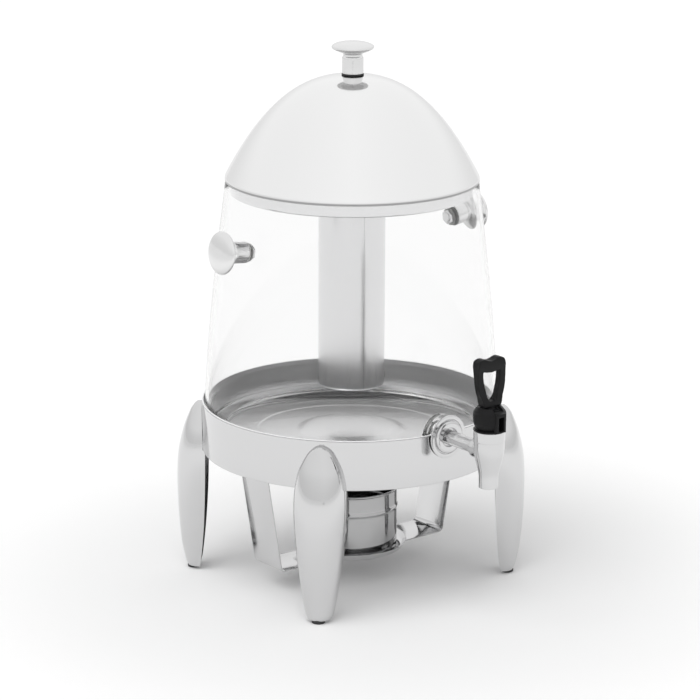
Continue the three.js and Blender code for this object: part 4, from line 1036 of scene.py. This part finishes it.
LID_BOTTOM = 406.8
LID_RADIUS = 125.0
LID_SKIRT = 2.0
LID_RISE = 99.8
LID_POWER = 2.41
LID_SEAT = 12.0


def dome_face(radius, rise):
    """One face of the lid's dome, from its skirt to the knob's hole."""
    stations = 40
    last = math.acos(LID_SEAT / radius)
    points = []
    for step in range(1, stations + 1):
        across = math.cos(last * step / stations)
        points.append((radius * across, LID_BOTTOM + LID_SKIRT + rise * (1 - across ** LID_POWER)))
    return points + [(STUD_BORE, points[-1][1])]


def lid_parts():
    """The dome with its rim and inner lip, the gasket and the knob."""
    outer = dome_face(LID_RADIUS, LID_RISE)
    inner = dome_face(LID_RADIUS - WALL, LID_RISE - WALL)
    lip = 116.1
    corners = [
        (lip - WALL, LID_BOTTOM - 6, 0.3),
        (lip, LID_BOTTOM - 6, 0.3),
        (lip, LID_BOTTOM, 0.3),
        (LID_RADIUS - 0.1, LID_BOTTOM),
        (LID_RADIUS - 0.1, LID_BOTTOM - 1.5, 0.1),
        (LID_RADIUS + 0.3, LID_BOTTOM - 1.5, 0.2),
        (LID_RADIUS + 0.3, LID_BOTTOM + 0.6, 0.6),
        (LID_RADIUS, LID_BOTTOM + LID_SKIRT, 1.2),
        *outer,
        *inner[::-1],
        (LID_RADIUS - WALL, LID_BOTTOM + LID_SKIRT),
        (LID_RADIUS - WALL, LID_BOTTOM + WALL),
        (lip - WALL, LID_BOTTOM + WALL, 0.3),
    ]
    dome = revolve(rounded(corners, closed=True), ROUND_STEPS)
    fine("lid_dome", dome, "lid", LID_STEEL)
    low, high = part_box("lid_knob_gasket")
    bottom, top = low.z / MM, high.z / MM
    gasket = washer(STUD_BORE, 11, bottom, top, TURNED_STEPS, 0.6)
    fine("lid_knob_gasket", gasket, "lid", RUBBER)
    knob = moved(knob_shape(), Matrix.Translation((0, 0, top + GAP)))
    fine("lid_knob", knob, "lid", TURNED)


def tap_spring():
    """The coil, a copy of the CAD node's mesh."""
    node = frame["nodes"]["tap_spring"]
    spring = bpy.data.objects.new("fine_tap_spring", node.data.copy())
    bpy.context.scene.collection.objects.link(spring)
    dress(spring, "tank", TURNED, ["tap_spring"])
    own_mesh(spring)


def plain_nodes():
    """CAD nodes whose shape is right keep it and get a material."""
    steel = ["bracket_nut_1", "bracket_nut_2", "bracket_nut_3", "bracket_nut_4", "tap_lock_nut",
             "tap_stem", "lever_pin", "side_knob_stud_left", "side_knob_stud_right", "lid_knob_washer",
             "lid_knob_screw"]
    for names, material, slot in ((steel, TURNED, "satin_steel"),
                                  (["tap_seat_cup"], SILICONE, "pale_silicone")):
        for name in names:
            node = frame["nodes"][name]
            node.data.materials.clear()
            node.data.materials.append(material)


base_ring()
base_pan()
stand_corners()
burner_parts()
tank_shell()
side_knobs()
shank_pieces()
tap_body()
tap_bonnet()
tap_lever()
insert_parts()
lid_parts()
tap_spring()
plain_nodes()


# Floor, light and camera


def view_rays(nodes, links):
    """1 for camera, glossy and transmission rays, and 1 for glossy rays off a surface alone."""
    path = nodes.new("ShaderNodeLightPath")
    glossy, through = path.outputs["Is Glossy Ray"], path.outputs["Is Transmission Ray"]
    seen = math_node(nodes, links, "MAXIMUM", path.outputs["Is Camera Ray"], glossy)
    seen = math_node(nodes, links, "MAXIMUM", seen, through)
    mirrored_only = math_node(nodes, links, "SUBTRACT", glossy, through)
    return seen, math_node(nodes, links, "MAXIMUM", mirrored_only, 0.0)


def dimmed(nodes, links, rays, factor):
    """1, or the factor for the chosen rays."""
    loss = math_node(nodes, links, "SUBTRACT", 1.0, factor)
    return math_node(nodes, links, "SUBTRACT", 1.0, math_node(nodes, links, "MULTIPLY", rays, loss))


# Shade and width of the floor's dark strip that shows in the steel alone: a painted reflection
PAINTED_STRIP_SHADE = 0.25
PAINTED_STRIP_WIDTH = math.radians(3)
FLOOR_HALF = 14.0
WORLD_SIDE_LOSS = 0.06


def floor():
    """A pale floor, painted darker near the object as a painted shadow, and, in the steel alone, darker
    far off with a dark strip before the camera as painted reflections.
    """
    mesh = bpy.data.meshes.new("floor")
    half = FLOOR_HALF
    corners = [(-half, -half, 0), (half, -half, 0), (half, half, 0), (-half, half, 0)]
    mesh.from_pydata(corners, [], [[0, 1, 2, 3]])
    made = bpy.data.objects.new("floor", mesh)
    bpy.context.scene.collection.objects.link(made)
    material = bpy.data.materials.new("floor")
    material.use_nodes = True
    nodes = material.node_tree.nodes
    links = material.node_tree.links
    shader = nodes["Principled BSDF"]
    shader.inputs["Roughness"].default_value = 0.9
    shader.inputs["Specular IOR Level"].default_value = 0.0
    shader.inputs["Emission Color"].default_value = (1, 1, 1, 1)
    seen, mirrored_only = view_rays(nodes, links)
    place = nodes.new("ShaderNodeTexCoord")
    length = nodes.new("ShaderNodeVectorMath")
    length.operation = "LENGTH"
    links.new(place.outputs["Object"], length.inputs[0])
    away = length.outputs["Value"]
    # Seen in the steel alone, the floor is darker far off and has a dark strip before the camera: painted
    # reflection
    fade = range_node(nodes, links, away, (1.0, 2.6), (1.0, 0.84))
    strip = angle_strip(nodes, links, place.outputs["Object"], CAMERA_AZIMUTH, PAINTED_STRIP_WIDTH)
    begins = range_node(nodes, links, away, (2.3, 2.7), (0.0, 1.0))
    ends = range_node(nodes, links, away, (3.1, 3.4), (1.0, 0.0))
    strip = math_node(nodes, links, "MULTIPLY", strip, math_node(nodes, links, "MULTIPLY", begins, ends))
    fade = math_node(nodes, links, "MULTIPLY", fade, dimmed(nodes, links, strip, PAINTED_STRIP_SHADE))
    light = dimmed(nodes, links, mirrored_only, fade)
    shade = math_node(nodes, links, "MULTIPLY", light, FLOOR_SHADE)
    grey(nodes, links, shade, shader.inputs["Base Color"])
    # The floor's glow is lower near the object: a painted shadow
    glow_with_painted_shadow = range_node(nodes, links, away, (0.2, 0.55), (0.03, 0.15))
    glow_with_painted_shadow = math_node(nodes, links, "MULTIPLY", seen, glow_with_painted_shadow)
    links.new(math_node(nodes, links, "MULTIPLY", glow_with_painted_shadow, light), shader.inputs["Emission Strength"])
    made.data.materials.append(material)


def world():
    """A white studio that is a little darker low down and at the sides in reflections."""
    made = bpy.data.worlds.new("studio")
    bpy.context.scene.world = made
    made.use_nodes = True
    nodes = made.node_tree.nodes
    links = made.node_tree.links
    background = nodes["Background"]
    background.inputs["Color"].default_value = (1, 1, 1, 1)
    seen, mirrored_only = view_rays(nodes, links)
    place = nodes.new("ShaderNodeTexCoord")
    parts = nodes.new("ShaderNodeSeparateXYZ")
    links.new(place.outputs["Generated"], parts.inputs["Vector"])
    fade = range_node(nodes, links, parts.outputs["Z"], (0.0, 0.4), (0.84, 1.0))
    turn = nodes.new("ShaderNodeVectorRotate")
    turn.rotation_type = "Z_AXIS"
    turn.inputs["Angle"].default_value = CAMERA_AZIMUTH
    links.new(place.outputs["Generated"], turn.inputs["Vector"])
    sides = nodes.new("ShaderNodeSeparateXYZ")
    links.new(turn.outputs["Vector"], sides.inputs["Vector"])
    side = math_node(nodes, links, "ABSOLUTE", sides.outputs["X"], 0.0)
    side = math_node(nodes, links, "MULTIPLY", side, WORLD_SIDE_LOSS)
    fade = math_node(nodes, links, "SUBTRACT", fade, side)
    light = dimmed(nodes, links, mirrored_only, fade)
    strength = range_node(nodes, links, seen, (0.0, 1.0), (0.68, 1.0))
    links.new(math_node(nodes, links, "MULTIPLY", strength, light), background.inputs["Strength"])


def sun(name, heading, height, strength, spread_angle):
    """A soft lamp that no surface mirrors."""
    data = bpy.data.lights.new(name, "SUN")
    data.energy = strength
    data.angle = spread_angle
    made = bpy.data.objects.new(name, data)
    bpy.context.scene.collection.objects.link(made)
    source = Vector((math.sin(heading), -math.cos(heading), math.tan(height)))
    made.rotation_euler = source.to_track_quat("Z", "Y").to_euler()
    made.visible_glossy = False


def camera():
    """The photograph's camera."""
    data = bpy.data.cameras.new("camera")
    data.sensor_width = SENSOR
    data.lens = LENS_PIXELS / FRAME_PIXELS * SENSOR
    data.shift_x = (FRAME_PIXELS / 2 - CAMERA_CENTRE_PIXEL) / FRAME_PIXELS
    data.clip_end = CLIP_END
    made = bpy.data.objects.new("camera", data)
    bpy.context.scene.collection.objects.link(made)
    heading = Vector((math.sin(CAMERA_AZIMUTH), math.cos(CAMERA_AZIMUTH), 0))
    right = Vector((heading.y, -heading.x, 0))
    forward = heading * math.cos(CAMERA_PITCH) - Vector((0, 0, math.sin(CAMERA_PITCH)))
    up = right.cross(forward)
    turn = Matrix((right, up, -forward)).transposed().to_4x4()
    place = -heading * CAMERA_DISTANCE + Vector((0, AXIS_Y, CAMERA_HEIGHT))
    made.matrix_world = Matrix.Translation(place * MM) @ turn @ Matrix.Rotation(CAMERA_ROLL, 4, "Z")
    bpy.context.scene.camera = made


floor()
world()
sun("key", math.radians(-75), math.radians(58), 1.25, math.radians(50))
camera()
bpy.context.scene.view_settings.view_transform = "Standard"
